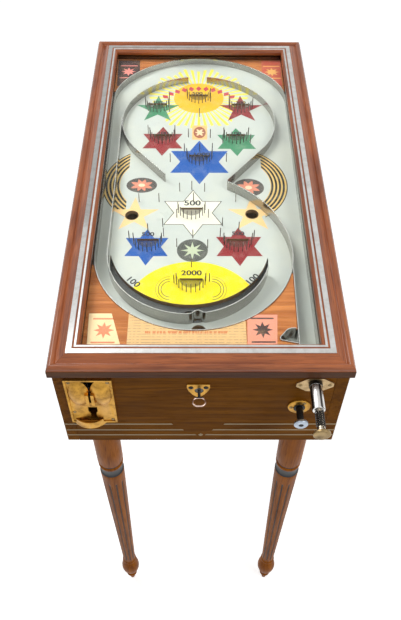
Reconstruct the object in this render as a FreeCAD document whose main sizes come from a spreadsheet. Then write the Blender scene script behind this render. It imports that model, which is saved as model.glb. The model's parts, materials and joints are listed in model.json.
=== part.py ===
import FreeCAD
import Part
import math
import os

# Coin bagatelle table: a glazed, hinged lid over a sloping nail board, in a box on four turned legs.
# Millimetres, +Z up, floor at zero, X across, the player stands at -Y.
# Plans are drawn about the centre of the lid and moved back so that the whole table is centred in Y.

V = FreeCAD.Vector
CENTRE = V(0, 0, 0)
UP = V(0, 0, 1)

SIZES = {
    "lid_width": 420, "lid_length": 830, "lid_overhang": 4.7,
    "box_height": 178, "wall": 18, "bottom_thick": 8, "joint_gap": 0.3,
    "leg_length": 744, "leg_inset": 48, "leg_radius": 22.5, "leg_tip_radius": 8, "leg_ankle_radius": 13,
    "leg_ball_radius": 18.5, "flute_count": 10,
    "flute_radius": 3.2, "leg_block": 50, "leg_bolt_radius": 5, "leg_bolt_length": 92,
    "rail_width": 43.5, "fascia_height": 14, "lid_rise": 24,
    "wide_strip_width": 8, "wide_strip_inset": 25, "thin_strip_width": 3.2, "thin_strip_inset": 35.6,
    "strip_thick": 2, "strip_proud": 0.5,
    "glass_thick": 3, "glass_rebate": 6, "glass_height": 9, "bead_height": 5,
    "hinge_radius": 3.2, "hinge_pin_radius": 1.6, "hinge_leaf": 1.6, "hinge_length": 60, "hinge_spread": 250,
    "board_thick": 8, "board_drop": 17, "board_slope": 1.0,
    "strip_gauge": 1.2, "rail_top": 2, "plate_thick": 3,
    "left_margin": 18.9, "right_margin": 17.9, "front_margin": 16.3, "rear_margin": 14.7,
    "ball_radius": 9, "hole_radius": 11.3, "well_radius": 10,
    "pocket_width": 36, "pocket_reach": 19, "pocket_depth": 4,
    "nail_radius": 0.8, "nail_height": 19, "nail_sink": 5, "nail_pitch": 7.2,
    "card_thick": 0.4,
    "plunger_inset": 28.8, "plunger_drop": 16.5, "plunger_rod_radius": 4, "barrel_radius": 8.8,
    "barrel_bore": 6.9, "barrel_length": 46, "barrel_root_radius": 9.7, "barrel_root_length": 8,
    "sleeve_radius": 8.3, "knob_radius": 11.8, "knob_length": 5.5, "ferrule_radius": 6.3, "ferrule_length": 7.8,
    "plunger_reach": 85, "plunger_inside": 58, "collar_radius": 6.4, "collar_length": 4, "rod_running": 0.05,
    "cushion_turns": 7, "cushion_radius": 5.6, "cushion_wire": 1.6,
    "main_turns": 12, "main_radius": 5.75, "main_wire": 1.2,
    "lift_inset": 44.5, "lift_drop": 78, "lift_rod_radius": 5, "lift_reach": 33, "lift_flange_radius": 16.5,
    "lift_flange_thick": 3, "lift_hub_radius": 8.5, "lift_hub_thick": 4.6,
    "lift_knob_radius": 10.2, "lift_knob_thick": 6, "well_inset": 59.8, "well_margin": 49.3,
    "lever_pin_radius": 2.5, "lever_hub_radius": 4.3, "pivot_margin": 6.3, "lever_drop": 46, "lever_arm": 44,
    "coin_inset": 30.8, "coin_width": 67, "coin_height": 110, "coin_drop": 6.8, "coin_plate_thick": 3,
    "coin_rim": 1.6, "coin_opening": 40, "cup_radius": 31, "cup_out": 12, "cup_height": 15, "cup_aside": 7,
    "lock_x": -2.5, "key_drop": 36, "plug_radius": 6, "key_radius": 2, "lock_screw_radius": 3.6,
    "inlay_height": 2.6, "inlay_thick": 0.6, "screw_radius": 1.5, "screw_head_radius": 2.8, "flange_thick": 2.5,
}

doc = FreeCAD.newDocument("BagatelleTable")
sheet = doc.addObject("Spreadsheet::Sheet", "Sizes")
for row, (alias, value) in enumerate(SIZES.items(), start=1):
    sheet.set("A%d" % row, alias)
    sheet.set("B%d" % row, str(value))
    sheet.setAlias("B%d" % row, alias)
doc.recompute()


class Dims:
    """The sheet's sizes as plain numbers."""


d = Dims()
for alias in SIZES:
    setattr(d, alias, float(sheet.get(alias)))

# Levels and faces that follow from the sizes.
box_bottom = d.leg_length
box_top = box_bottom + d.box_height
half_w = d.lid_width / 2 - d.lid_overhang
half_l = d.lid_length / 2 - d.lid_overhang
inner_w = half_w - d.wall
inner_l = half_l - d.wall
front_face = -half_l
lid_top = box_top + d.lid_rise
opening_w = d.lid_width / 2 - d.rail_width
opening_l = d.lid_length / 2 - d.rail_width
rail_z = box_top + d.rail_top
slope = math.tan(math.radians(d.board_slope))
hinge_y = d.lid_length / 2 + d.hinge_radius + d.joint_gap
field_left = d.left_margin - inner_w
field_right = inner_w - d.right_margin
field_front = d.front_margin - inner_l
field_rear = inner_l - d.rear_margin
plunger_x = inner_w - d.plunger_inset
lift_x = inner_w - d.lift_inset
coin_x = d.coin_inset - inner_w
well_x = inner_w - d.well_inset
well_y = d.well_margin - inner_l
pivot_y = d.pivot_margin - inner_l
shift = V(0, (d.plunger_reach + half_l - hinge_y - d.hinge_radius) / 2, 0)
subparts = []


def field_z(y):
    """Height of the sloping nail board's top at plan position y."""
    return box_top - d.board_drop + slope * y


def keep(obj, label):
    """Give a finished sub-part its name and move it from the lid's centre to the table's own frame."""
    obj.Label = label
    obj.Placement = FreeCAD.Placement(shift, FreeCAD.Rotation()).multiply(obj.Placement)
    subparts.append(obj)
    return obj


def formula(obj, prop, text):
    """Bind a property to the sheet; names in braces are its aliases."""
    obj.setExpression(prop, text.replace("{", "Sizes.").replace("}", ""))


def box(name, size, corner):
    """A block whose three sizes are sheet expressions, from its lowest corner."""
    block = doc.addObject("Part::Box", name)
    for prop, text in zip(("Length", "Width", "Height"), size):
        formula(block, prop, text)
    block.Placement.Base = V(*corner)
    return block


def rod(name, radius, length, start, direction):
    """A cylinder with sheet expressions for its radius and length."""
    cylinder = doc.addObject("Part::Cylinder", name)
    formula(cylinder, "Radius", radius)
    formula(cylinder, "Height", length)
    cylinder.Placement = FreeCAD.Placement(V(*start), FreeCAD.Rotation(UP, V(*direction)))
    return cylinder


def group(name, members):
    """Several separate solids in one sub-part."""
    bundle = doc.addObject("Part::Compound", name)
    bundle.Links = members
    return bundle


def cut(name, base, tools):
    """The base with every tool taken out of it."""
    result = doc.addObject("Part::Cut", name)
    result.Base = base
    result.Tool = tools[0] if len(tools) == 1 else group(name + "_tools", tools)
    return result


def shaped(name, shape):
    """A feature whose shape is worked out from the sheet's sizes."""
    feature = doc.addObject("Part::Feature", name)
    feature.Shape = shape
    return feature


def body(name):
    return doc.addObject("PartDesign::Body", name)


def plane_of(owner, role):
    return [f for f in owner.Origin.OriginFeatures if f.Role == role][0]


def sketch(owner, name, role, loops, offset=0):
    """A sketch on one of the body's own planes, from loops of lines, arcs and circles."""
    drawing = owner.newObject("Sketcher::SketchObject", name)
    drawing.AttachmentSupport = [(plane_of(owner, role), "")]
    drawing.MapMode = "FlatFace"
    drawing.AttachmentOffset = FreeCAD.Placement(V(0, 0, offset), FreeCAD.Rotation())
    for loop in loops:
        for curve in loop:
            drawing.addGeometry(curve, False)
    return drawing


def lines(points):
    """A closed loop of straight lines."""
    pairs = zip(points, points[1:] + points[:1])
    return [Part.LineSegment(V(*a, 0), V(*b, 0)) for a, b in pairs]


def pad(owner, drawing, length, midplane=False, reverse=False):
    feature = owner.newObject("PartDesign::Pad", drawing.Name + "_pad")
    feature.Profile = drawing
    formula(feature, "Length", length)
    feature.Midplane = midplane
    feature.Reversed = reverse
    return feature


def pocket_through(owner, drawing, reverse=True):
    """A cut from the sketch's plane right through what lies above it."""
    feature = owner.newObject("PartDesign::Pocket", drawing.Name + "_pocket")
    feature.Profile = drawing
    feature.Type = "ThroughAll"
    feature.Reversed = reverse
    return feature


def turned(name, profile):
    """A turned piece: an outline of (radius, height) points spun about its upright axis."""
    owner = body(name)
    outline = sketch(owner, name + "_outline", "XZ_Plane", [profile])
    spin = owner.newObject("PartDesign::Revolution", name + "_turning")
    spin.Profile = outline
    spin.ReferenceAxis = (outline, ["V_Axis"])
    spin.Angle = 360
    return owner


def lay(obj, start, direction):
    """Place a turned piece with its axis from start along direction."""
    obj.Placement = FreeCAD.Placement(V(*start), FreeCAD.Rotation(UP, V(*direction)))
    return obj


OUT = (0, -1, 0)
IN = (0, 1, 0)


def build_box():
    """The wooden box: two long sides with the front and back let in between them."""
    across = "{lid_width} - 2 * {lid_overhang} - 2 * {wall}"
    along = "{lid_length} - 2 * {lid_overhang}"
    inside = "{lid_length} - 2 * {lid_overhang} - 2 * {wall}"
    plunger_z = box_top - d.plunger_drop
    lift_z = box_top - d.lift_drop
    blank = box("front_blank", (across, "{wall}", "{box_height}"), (-inner_w, front_face, box_bottom))
    start = front_face - 1
    holes = [
        rod("sleeve_hole", "{sleeve_radius} + {joint_gap}", "{wall} + 2", (plunger_x, start, plunger_z), IN),
        rod("lift_hole", "{lift_rod_radius} + {rod_running}", "{wall} + 2", (lift_x, start, lift_z), IN),
        rod("lock_hole", "{plug_radius} + {joint_gap}", "{wall} + 2", (d.lock_x, start, box_top - d.key_drop), IN),
        box("coin_hole", ("{coin_opening}", "{wall} + 2", "{coin_height} - 9"),
            (coin_x - d.coin_opening / 2, start, box_top - d.coin_drop - d.coin_height + 6)),
    ]
    keep(cut("front_board", blank, holes), "front_panel")
    keep(box("back_board", (across, "{wall}", "{box_height}"), (-inner_w, inner_l, box_bottom)), "back_panel")
    keep(box("left_board", ("{wall}", along, "{box_height}"), (-half_w, -half_l, box_bottom)), "side_left")
    keep(box("right_board", ("{wall}", along, "{box_height}"), (inner_w, -half_l, box_bottom)), "side_right")
    floor = box("floor_blank", (across, inside, "{bottom_thick}"), (-inner_w, -inner_l, box_bottom))
    bolts = [rod("floor_bolt_hole", "{leg_bolt_radius} + {joint_gap}", "{bottom_thick} + 2",
                 (x, y, box_bottom - 1), UP) for x, y in leg_axes()]
    keep(cut("floor_board", floor, bolts), "bottom_board")


def leg_axes():
    x = half_w - d.leg_inset
    y = half_l - d.leg_inset
    return [(-x, -y), (x, -y), (-x, y), (x, y)]


def leg_outline():
    """The turned leg's outline from the middle of its tip, up its side and back down its axis."""
    r = d.leg_radius
    tip = d.leg_tip_radius
    ankle = d.leg_ankle_radius
    total = d.leg_length
    ring = total - 150
    low = [(0, 0), (tip * 0.55, 0), (tip * 0.65, 3), (tip, 26), (tip + 3.5, 29), (tip + 3.5, 35), (tip + 1, 38)]
    high = [(ankle - 1.5, 112), (ankle + 2, 115), (ankle + 2, 119), (ankle, 122),
            (r - 1, ring - 34), (r - 3.2, ring - 31), (r - 3.2, ring - 12), (r - 0.5, ring - 10),
            (r - 0.5, ring - 3), (r - 2.5, ring - 2), (r - 2.5, ring + 2), (r, ring + 4), (r, total), (0, total)]
    profile = [Part.LineSegment(V(*a, 0), V(*b, 0)) for a, b in zip(low, low[1:])]
    profile.append(Part.Arc(V(*low[-1], 0), V(d.leg_ball_radius, 75, 0), V(*high[0], 0)))
    return profile + [Part.LineSegment(V(*a, 0), V(*b, 0)) for a, b in zip(high, high[1:] + low[:1])]


def build_legs():
    """Four turned, fluted legs on bolts that screw into corner blocks."""
    names = ["leg_front_left", "leg_front_right", "leg_rear_left", "leg_rear_right"]
    total = d.leg_length
    low = 136
    high = total - 210
    taper = (d.leg_radius - 1 - d.leg_ankle_radius) / (total - 184 - 122)
    lean = math.degrees(math.atan(taper))
    start = d.leg_ankle_radius + taper * (low - 122) + d.flute_radius * 0.5
    sunk = d.leg_bolt_length / 2
    for name, (x, y) in zip(names, leg_axes()):
        flutes = []
        for number in range(int(d.flute_count)):
            flute = rod(name + "_flute", "{flute_radius}", str(high - low), CENTRE, UP)
            turn = FreeCAD.Rotation(UP, 360.0 * number / d.flute_count)
            tilt = FreeCAD.Rotation(V(0, 1, 0), lean)
            flute.Placement = FreeCAD.Placement(turn.multVec(V(start, 0, low)), turn.multiply(tilt))
            flutes.append(flute)
        bore = rod(name + "_bolt_hole", "{leg_bolt_radius}", "{leg_bolt_length} / 2", (0, 0, total - sunk), UP)
        leg = cut(name + "_fluted", turned(name + "_turning", leg_outline()), flutes + [bore])
        leg.Placement.Base = V(x, y, 0)
        keep(leg, name)
    blocks = []
    bolts = []
    half = d.leg_block / 2
    seat = box_bottom + d.bottom_thick
    for x, y in leg_axes():
        side = math.copysign(inner_w - half, x)
        end = math.copysign(inner_l - half, y)
        blank = box("leg_block", ("{leg_block}", "{leg_block}", "{leg_block}"), (side - half, end - half, seat))
        hole = rod("block_hole", "{leg_bolt_radius}", "{leg_block} + 2", (x, y, seat - 1), UP)
        blocks.append(cut("leg_block_drilled", blank, [hole]))
        bolts.append(rod("leg_bolt", "{leg_bolt_radius}", "{leg_bolt_length}", (x, y, total - sunk), UP))
    keep(group("corner_blocks", blocks), "leg_blocks")
    keep(group("hanger_bolts", bolts), "leg_bolts")


def build_lid():
    """Four mitred and moulded rails, two inlaid metal strips, and the glass with its beads."""
    z = box_top + d.joint_gap
    top = box_top + d.lid_rise
    fascia = box_top + d.fascia_height
    inset = d.wide_strip_inset
    strip_end = inset + d.wide_strip_width
    thin = d.thin_strip_inset
    thin_end = thin + d.thin_strip_width
    width = d.rail_width
    glass = box_top + d.glass_height
    sunk = d.strip_thick - d.strip_proud
    rebate = width - d.glass_rebate
    crown = top - d.strip_proud

    def moulding():
        """The rail's section, drawn as distance in from the lid's edge and height."""
        outside = [(rebate, z), (0, z), (0, fascia), (1.4, fascia + 0.6)]
        inside = [
            (11, fascia + 4.2), (12.6, fascia + 2.4), (inset - 2, crown - 1), (inset, crown),
            (inset, crown - sunk), (strip_end, crown - sunk), (strip_end, crown), (thin, crown),
            (thin, crown - sunk), (thin_end, crown - sunk), (thin_end, crown), (width - 2, crown - 2),
            (width, crown - 4.5), (width, glass + d.glass_thick), (rebate, glass + d.glass_thick),
        ]
        bead = Part.Arc(V(*outside[-1], 0), V(5.8, fascia + 7.2, 0), V(*inside[0], 0))
        loop = [Part.LineSegment(V(*a, 0), V(*b, 0)) for a, b in zip(outside, outside[1:])]
        loop.append(bead)
        return loop + [Part.LineSegment(V(*a, 0), V(*b, 0)) for a, b in zip(inside, inside[1:] + outside[:1])]

    def lid_rail(label, length, turn):
        owner = body(label + "_moulding")
        section = sketch(owner, label + "_section", "YZ_Plane", [moulding()])
        pad(owner, section, length, midplane=True)
        doc.recompute()
        half = float(owner.Tip.Length) / 2
        reach = width + 1
        ends = [lines([(s * half, 0), (s * (half - reach), reach), (s * (half + 1), reach), (s * (half + 1), 0)])
                for s in (-1, 1)]
        mitres = sketch(owner, label + "_mitres", "XY_Plane", ends)
        pocket_through(owner, mitres)
        distance = d.lid_length / 2 if turn % 180 == 0 else d.lid_width / 2
        spin = FreeCAD.Rotation(UP, turn)
        owner.Placement = FreeCAD.Placement(spin.multVec(V(0, -distance, 0)), spin)
        keep(owner, label)

    lid_rail("lid_front", "{lid_width}", 0)
    lid_rail("lid_right", "{lid_length}", 90)
    lid_rail("lid_rear", "{lid_width}", 180)
    lid_rail("lid_left", "{lid_length}", 270)

    def frame_strips(label, start, broad, low, height, gap):
        """Four mitred flat strips that run round the lid at one distance in from its edge."""
        strips = []
        for turn in (0, 90, 180, 270):
            long_way = turn % 180 == 90
            half = (d.lid_length if long_way else d.lid_width) / 2
            distance = (d.lid_width if long_way else d.lid_length) / 2
            near = start + gap
            far = start + broad - gap
            corners = [(-half + near, near), (half - near, near), (half - far, far), (-half + far, far)]
            owner = body("%s_%d" % (label, turn))
            outline = sketch(owner, "%s_outline_%d" % (label, turn), "XY_Plane", [lines(corners)], low)
            pad(owner, outline, height)
            spin = FreeCAD.Rotation(UP, turn)
            owner.Placement = FreeCAD.Placement(spin.multVec(V(0, -distance, 0)), spin)
            strips.append(owner)
        keep(group(label + "_set", strips), label)

    fit = 0.05
    frame_strips("wide_strips", inset, d.wide_strip_width, crown - sunk, "{strip_thick}", fit)
    frame_strips("thin_strips", thin, d.thin_strip_width, crown - sunk, "{strip_thick}", fit)
    frame_strips("glazing_beads", rebate, d.glass_rebate, glass - d.bead_height, "{bead_height}", d.joint_gap)
    pane = ("{lid_width} - 2 * {rail_width} + 2 * {glass_rebate} - 2 * {joint_gap}",
            "{lid_length} - 2 * {rail_width} + 2 * {glass_rebate} - 2 * {joint_gap}", "{glass_thick}")
    side = opening_w + d.glass_rebate - d.joint_gap
    end = opening_l + d.glass_rebate - d.joint_gap
    keep(box("pane", pane, (-side, -end, glass)), "glass_pane")


def build_hinges():
    """Two butt hinges on the rear faces of box and lid; their knuckles stand behind the lid."""
    third = d.hinge_length / 3
    gap = d.joint_gap
    radius = d.hinge_radius
    leaf = d.hinge_leaf
    along = V(1, 0, 0)
    box_half = []
    lid_half = []
    for x in (-d.hinge_spread / 2, d.hinge_spread / 2):
        left = x - d.hinge_length / 2
        flag = Part.makeBox(d.hinge_length, leaf, 26, V(left, half_l, box_top - radius + leaf - 26))
        pieces = []
        for start in (left, left + 2 * third):
            pieces.append(Part.makeCylinder(radius, third - gap, V(start, hinge_y, box_top), along))
            pieces.append(Part.makeBox(third - gap, hinge_y - half_l, leaf, V(start, half_l, box_top - radius)))
        pin = Part.makeCylinder(d.hinge_pin_radius, d.hinge_length, V(left, hinge_y, box_top), along)
        box_half.append(shaped("box_leaf", flag.multiFuse(pieces).cut(pin).removeSplitter()))
        box_half.append(shaped("hinge_pin", pin))
        start = left + third + gap
        middle = Part.makeCylinder(radius, third - 3 * gap, V(start, hinge_y, box_top), along)
        arm = Part.makeBox(third - 3 * gap, leaf, d.fascia_height, V(start, d.lid_length / 2, box_top))
        wing = Part.makeBox(d.hinge_length, leaf, d.fascia_height - radius - 1,
                            V(left, d.lid_length / 2, box_top + radius + 1))
        bore = Part.makeCylinder(d.hinge_pin_radius + d.rod_running, d.hinge_length, V(left, hinge_y, box_top), along)
        lid_half.append(shaped("lid_leaf", middle.multiFuse([arm, wing]).cut(bore).removeSplitter()))
    keep(group("box_hinge_set", box_half), "hinge_box_leaves")
    keep(group("lid_hinge_set", lid_half), "hinge_lid_leaves")


# Plan drawing helpers: a path is a list of straight and curved runs that meet smoothly.

def unit(angle):
    return V(math.cos(math.radians(angle)), math.sin(math.radians(angle)), 0)


def direction(vector):
    return math.degrees(math.atan2(vector.y, vector.x))


def arc_points(centre, radius, start, end):
    """Three points of an arc in plan from one angle to another, in degrees, either way round."""
    return [V(*centre) + unit(angle) * radius for angle in (start, (start + end) / 2, end)]


def straight(a, b):
    return ("line", V(*a), V(*b))


def curve(centre, radius, start, end):
    return ("arc", V(*centre), radius, start, end)


def run_edge(run, offset):
    """One run of a path moved sideways; a positive offset is to the left."""
    if run[0] == "line":
        a, b = run[1], run[2]
        aside = UP.cross(b - a).normalize() * offset
        return Part.LineSegment(a + aside, b + aside).toShape()
    centre, radius, start, end = run[1:]
    way = 1 if end > start else -1
    return Part.Arc(*arc_points(centre, radius - way * offset, start, end)).toShape()


def band(path, half):
    """The face between the two sides of a path."""
    left = Part.Wire([run_edge(run, half) for run in path])
    right = Part.Wire([run_edge(run, -half) for run in path])
    ends = []
    for first in (True, False):
        index = 0 if first else -1
        ends.append(Part.LineSegment(left.OrderedVertexes[index].Point, right.OrderedVertexes[index].Point).toShape())
    return Part.Face(Part.Wire(Part.__sortEdges__(left.Edges + right.Edges + ends)))


def corner_runs(points, radii):
    """A path of straight runs with each inner corner rounded."""
    points = [V(*p) for p in points]
    runs = []
    start = points[0]
    for a, corner, b, radius in zip(points, points[1:], points[2:], radii):
        back = (a - corner).normalize()
        on = (b - corner).normalize()
        half = back.getAngle(on) / 2
        centre = corner + (back + on).normalize() * (radius / math.sin(half))
        first = corner + back * (radius / math.tan(half))
        last = corner + on * (radius / math.tan(half))
        begin = direction(first - centre)
        turn = (direction(last - centre) - begin + 180) % 360 - 180
        runs.append(("line", start, first))
        runs.append(("arc", centre, radius, begin, begin + turn))
        start = last
    runs.append(("line", start, points[-1]))
    return runs


def ground():
    """A block whose top is the nail board's top, to trim what stands on it."""
    reach = 500
    outline = [V(-reach, -reach, 0), V(-reach, reach, 0), V(-reach, reach, field_z(reach)),
               V(-reach, -reach, field_z(-reach))]
    return Part.Face(Part.makePolygon(outline + outline[:1])).extrude(V(2 * reach, 0, 0))


def standing(face, top):
    """A plan face raised from the sloping board up to a level top."""
    low = field_z(-half_l)
    face = face.copy()
    face.translate(V(0, 0, low))
    return face.extrude(UP * (top - low)).cut(ground())


def sloping(face, top_drop, bottom_drop):
    """A plan face made into a layer parallel to the board, between two depths under its top."""
    tall = face.copy()
    tall.translate(V(0, 0, box_bottom))
    tall = tall.extrude(UP * (box_top - box_bottom))
    upper = ground()
    upper.translate(V(0, 0, -top_drop))
    lower = ground()
    lower.translate(V(0, 0, -bottom_drop))
    return tall.common(upper).cut(lower)


def strip(path):
    return standing(band(path, d.strip_gauge / 2), rail_z)


def disc(centre, radius):
    return Part.Face(Part.Wire(Part.makeCircle(radius, V(*centre))))


def polygon(points):
    corners = [V(*p, 0) for p in points]
    return Part.Face(Part.makePolygon(corners + corners[:1]))


def spring_y():
    """Where the arch's side circles meet the straight walls, so that all three circles are tangent."""
    span = ARCH["half_span"] - ARCH["side_radius"]
    between = ARCH["crown_radius"] - ARCH["side_radius"]
    return ARCH["crown_y"] - ARCH["crown_radius"] + math.sqrt(between ** 2 - span ** 2)


def arch_runs():
    """The three-centred arch at the rear, from the right wall to the left one."""
    middle = (ARCH["centre_x"], ARCH["crown_y"] - ARCH["crown_radius"], 0)
    span = ARCH["half_span"] - ARCH["side_radius"]
    right = (ARCH["centre_x"] + span, spring_y(), 0)
    left = (ARCH["centre_x"] - span, spring_y(), 0)
    lean = direction(V(*right) - V(*middle))
    return [curve(right, ARCH["side_radius"], 0, lean),
            curve(middle, ARCH["crown_radius"], lean, 180 - lean),
            curve(left, ARCH["side_radius"], 180 - lean, 180)]


# Plan positions of the board in a box with these inner half sizes; they follow the box that is built.
DRAWN_WIDTH = 187.3
DRAWN_LENGTH = 392.3


def across(x):
    """A distance across the board, for this box's width."""
    return x * inner_w / DRAWN_WIDTH


def down(y):
    """A position along the board, for this box's length."""
    return y * inner_l / DRAWN_LENGTH


def at(x, y):
    """A plan position for this box."""
    return (across(x), down(y))


# The walls, the ring, the two basins and the openings; every radius follows the width.
ARCH = {"centre_x": across(1.35), "half_span": across(166.85), "crown_y": field_rear - 1.2,
        "crown_radius": across(180), "side_radius": across(120)}
RING = ((*at(-1.5, 167), 0), across(143))
BASIN = ((*at(-10, -178), 0), across(155.5))
INNER = ((*at(-18.5, -176), 0), across(127.5))
ARM = ((*at(-48.5, -178), 0), across(194))
GUTTER = ((*at(-18, -176), 0), across(126.3))
FIELD_EDGE = ((*at(-17, -137.5), 0), across(129.2))
GUTTER_FRONT = GUTTER[0][1] - GUTTER[1]
GUTTER_REAR = FIELD_EDGE[0][1] - FIELD_EDGE[1]
DROP = (across(-17), (GUTTER_FRONT + GUTTER_REAR) / 2 + 0.5, 0)
REPLAY_HOLES = [at(-114.9, -73.3), at(87.7, -70.0)]
DRAIN = (across(-3), BASIN[0][1] - BASIN[1] + 16.5)
POCKETS = [at(*spot) for spot in [
    (-14.6, -227.2), (-14.4, -67.8), (-85.7, -141.5), (61.4, -141.2), (-0.6, 71.4),
    (-69.3, 131.1), (68.0, 131.7), (-1.4, 256.1), (-81.9, 227.3), (80.8, 226.5)]]
NAILS = [at(*spot) for spot in [
    (-96, 146), (-46, 146), (-21, 136), (20, 134), (43, 120), (94, 120), (-53, 65), (48, 66),
    (0, 95), (-28, 93), (23, 94), (-35, -13), (-14, -9), (8, -14), (-11, -38), (-39, -78), (14, -78),
    (-104, -40), (-70, -40), (61, -39), (-62, -100), (-86, -112), (37, -98), (64, -108), (-116, -129),
    (-60, -122), (33, -122), (88, -127), (-12, -126), (-38, -146), (12, -148), (-14, -190),
    (-41, -223), (14, -220), (-99, 216), (-58, 214), (-59, 251), (22, 247), (58, 244), (99, 220), (0, 198)]]
HOOP = [(well_x + x, well_y + y, 0) for x, y in [(9.8, 13.5), (-1.5, 13), (-17.5, -7), (9.8, -13.5)]]
HOOP_BENDS = (12, 4)
LANE = ((*at(143.4, -212), 0), (well_x + 11.5, 18.3 - inner_l, 0))


def outer_path():
    """From the front of the shooter lane up the right wall, over the arch and round the front basin."""
    right = ARCH["centre_x"] + ARCH["half_span"]
    left = ARCH["centre_x"] - ARCH["half_span"]
    centre, radius = BASIN
    return ([straight((right, 21.3 - inner_l, 0), (right, spring_y(), 0))] + arch_runs()
            + [straight((left, spring_y(), 0), (left, centre[1], 0)), curve(centre, radius, 180, 360)])


def tangent_angle(point, centre, radius, side):
    """Angle, seen from the centre, where a line from the point touches the circle."""
    away = V(*point) - V(*centre)
    return direction(away) + side * math.degrees(math.acos(radius / away.Length))


def right_path():
    """The ring's right side, straight down to a sharp bend, then the long arm beside the shooter lane."""
    centre, radius = RING
    elbow = (*at(45, -8), 0)
    bend = 5
    touch = tangent_angle(elbow, centre, radius, 1)
    start = V(*centre) + unit(touch) * radius
    along = (V(*elbow) - start).normalize()
    base = start + UP.cross(along) * bend
    arm_centre, arm_radius = V(*ARM[0]), ARM[1]
    away = base - arm_centre
    half_b = away.dot(along)
    rest = away.dot(away) - (arm_radius + bend) ** 2
    step = -half_b - math.sqrt(half_b ** 2 - rest)
    if step < 0:
        step = -half_b + math.sqrt(half_b ** 2 - rest)
    pivot = base + along * step
    first = direction(start + along * step - pivot)
    meet = direction(arm_centre - pivot)
    turn = (meet - first) % 360
    leave = direction(pivot - arm_centre)
    gap = math.degrees(d.joint_gap / arm_radius)
    return [curve(centre, radius, 83.4, touch), ("line", start, start + along * step),
            ("arc", pivot, bend, first, first + turn), curve(ARM[0], arm_radius, leave, gap)]


def left_path():
    """The ring's left side and its straight free end."""
    centre, radius = RING
    tip = (*at(-60.5, 10.4), 0)
    touch = tangent_angle(tip, centre, radius, -1) % 360
    return [curve(centre, radius, 98.2, touch), ("line", V(*centre) + unit(touch) * radius, V(*tip))]


def inner_path():
    """The left channel's inner wall and the inner basin with its small bump over the drop."""
    centre, radius = INNER
    middle = 360 - 83.7
    bend = 9
    bump_at = radius + 3
    spread = math.degrees(math.acos(((radius - bend) ** 2 + bump_at ** 2 - (2 * bend) ** 2)
                                    / (2 * (radius - bend) * bump_at)))
    bump = V(*centre) + unit(middle) * bump_at
    before = V(*centre) + unit(middle - spread) * (radius - bend)
    after = V(*centre) + unit(middle + spread) * (radius - bend)
    rise = (direction(bump - before) - (middle - spread)) % 360
    start = direction(before - bump)
    sweep = -((start - direction(after - bump)) % 360)
    last = direction(bump - after)
    left = centre[0] - radius
    return [straight((left, down(175), 0), (left, centre[1], 0)),
            curve(centre, radius, 180, middle - spread),
            ("arc", before, bend, middle - spread, middle - spread + rise),
            ("arc", bump, bend, start, start + sweep),
            ("arc", after, bend, last, last + (middle + spread - last) % 360),
            curve(centre, radius, middle + spread, 346)]


def pocket_face(x, y):
    """A scoring pocket in plan: straight at the rear, rounded at the front."""
    half = d.pocket_width / 2
    rear = y + 13.5
    corner = V(x - half, rear - 4, 0)
    other = V(x + half, rear - 4, 0)
    front = Part.Arc(corner, V(x, rear - d.pocket_reach, 0), other).toShape()
    rest = Part.makePolygon([other, V(x + half, rear, 0), V(x - half, rear, 0), corner])
    return Part.Face(Part.Wire(Part.__sortEdges__([front] + rest.Edges)))


def nail_places():
    """The free nails, and a fence round the front of every pocket."""
    places = list(NAILS)
    for x, y in POCKETS:
        reach = d.pocket_width / 2 + 5
        count = int(round(math.pi * reach / d.nail_pitch))
        for number in range(count + 1):
            spot = unit(180 + 180.0 * number / count) * reach
            places.append((x + spot.x, y + 8 + spot.y))
    return places


def along_z(radius, centre):
    return Part.makeCylinder(radius, d.box_height, V(centre[0], centre[1], box_bottom))


def gutter_sheet():
    """The thin crescent under the board that floors its gutter."""
    outline = disc(GUTTER[0], GUTTER[1] + 8).cut(disc(FIELD_EDGE[0], FIELD_EDGE[1] - 8))
    return sloping(outline, d.board_thick, d.board_thick + 3)


def build_board():
    """The sloping nail board, the tray under its gutter, the cleats that carry it, and its nails."""
    half = inner_w - 15.3
    rear = inner_l - 14.3
    front = 1.5 - field_front
    blank = sloping(polygon([(-half, -front), (half, -front), (half, rear), (-half, rear)]), 0, d.board_thick)
    tools = []
    for x, y in REPLAY_HOLES + [DRAIN]:
        tools.append(rod("board_hole", "{hole_radius}", "60", (x, y, field_z(y) - 30), UP))
    tools.append(rod("ball_well", "{well_radius}", "60", (well_x, well_y, box_top - 52), UP))
    slot_corner = (well_x - d.well_radius / 2, -front - 5, box_top - 52)
    tools.append(box("lever_slot", ("{well_radius}", "40", "60"), slot_corner))
    crescent = disc(*GUTTER).cut(disc(*FIELD_EDGE))
    crescent.translate(V(0, 0, box_bottom))
    tools.append(shaped("gutter_cut", crescent.extrude(UP * d.box_height)))
    for x, y in POCKETS:
        tools.append(shaped("pocket_cut", sloping(pocket_face(x, y), -1, d.pocket_depth)))
    nails = []
    for x, y in nail_places():
        foot = field_z(y) - d.nail_sink
        tools.append(rod("nail_hole", "{nail_radius}", "{nail_sink} + 3", (x, y, foot), UP))
        nails.append(rod("nail", "{nail_radius}", "{nail_height} + {nail_sink}", (x, y, foot), UP))
    keep(cut("nail_board", shaped("board_blank", blank), tools), "playfield_board")
    keep(group("nail_set", nails), "nails")
    keep(shaped("tray_sheet", gutter_sheet().cut(along_z(d.hole_radius, DROP))), "gutter_tray")
    cleats = []
    for side in (-1, 1):
        inside = side * (half - 7)
        outside = side * inner_w
        face = polygon([(inside, 22.3 - inner_l), (outside, 22.3 - inner_l), (outside, inner_l - 5),
                        (inside, inner_l - 5)])
        cleats.append(shaped("cleat", sloping(face, d.board_thick, d.board_thick + 15)))
    keep(group("cleat_pair", cleats), "field_cleats")


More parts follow.
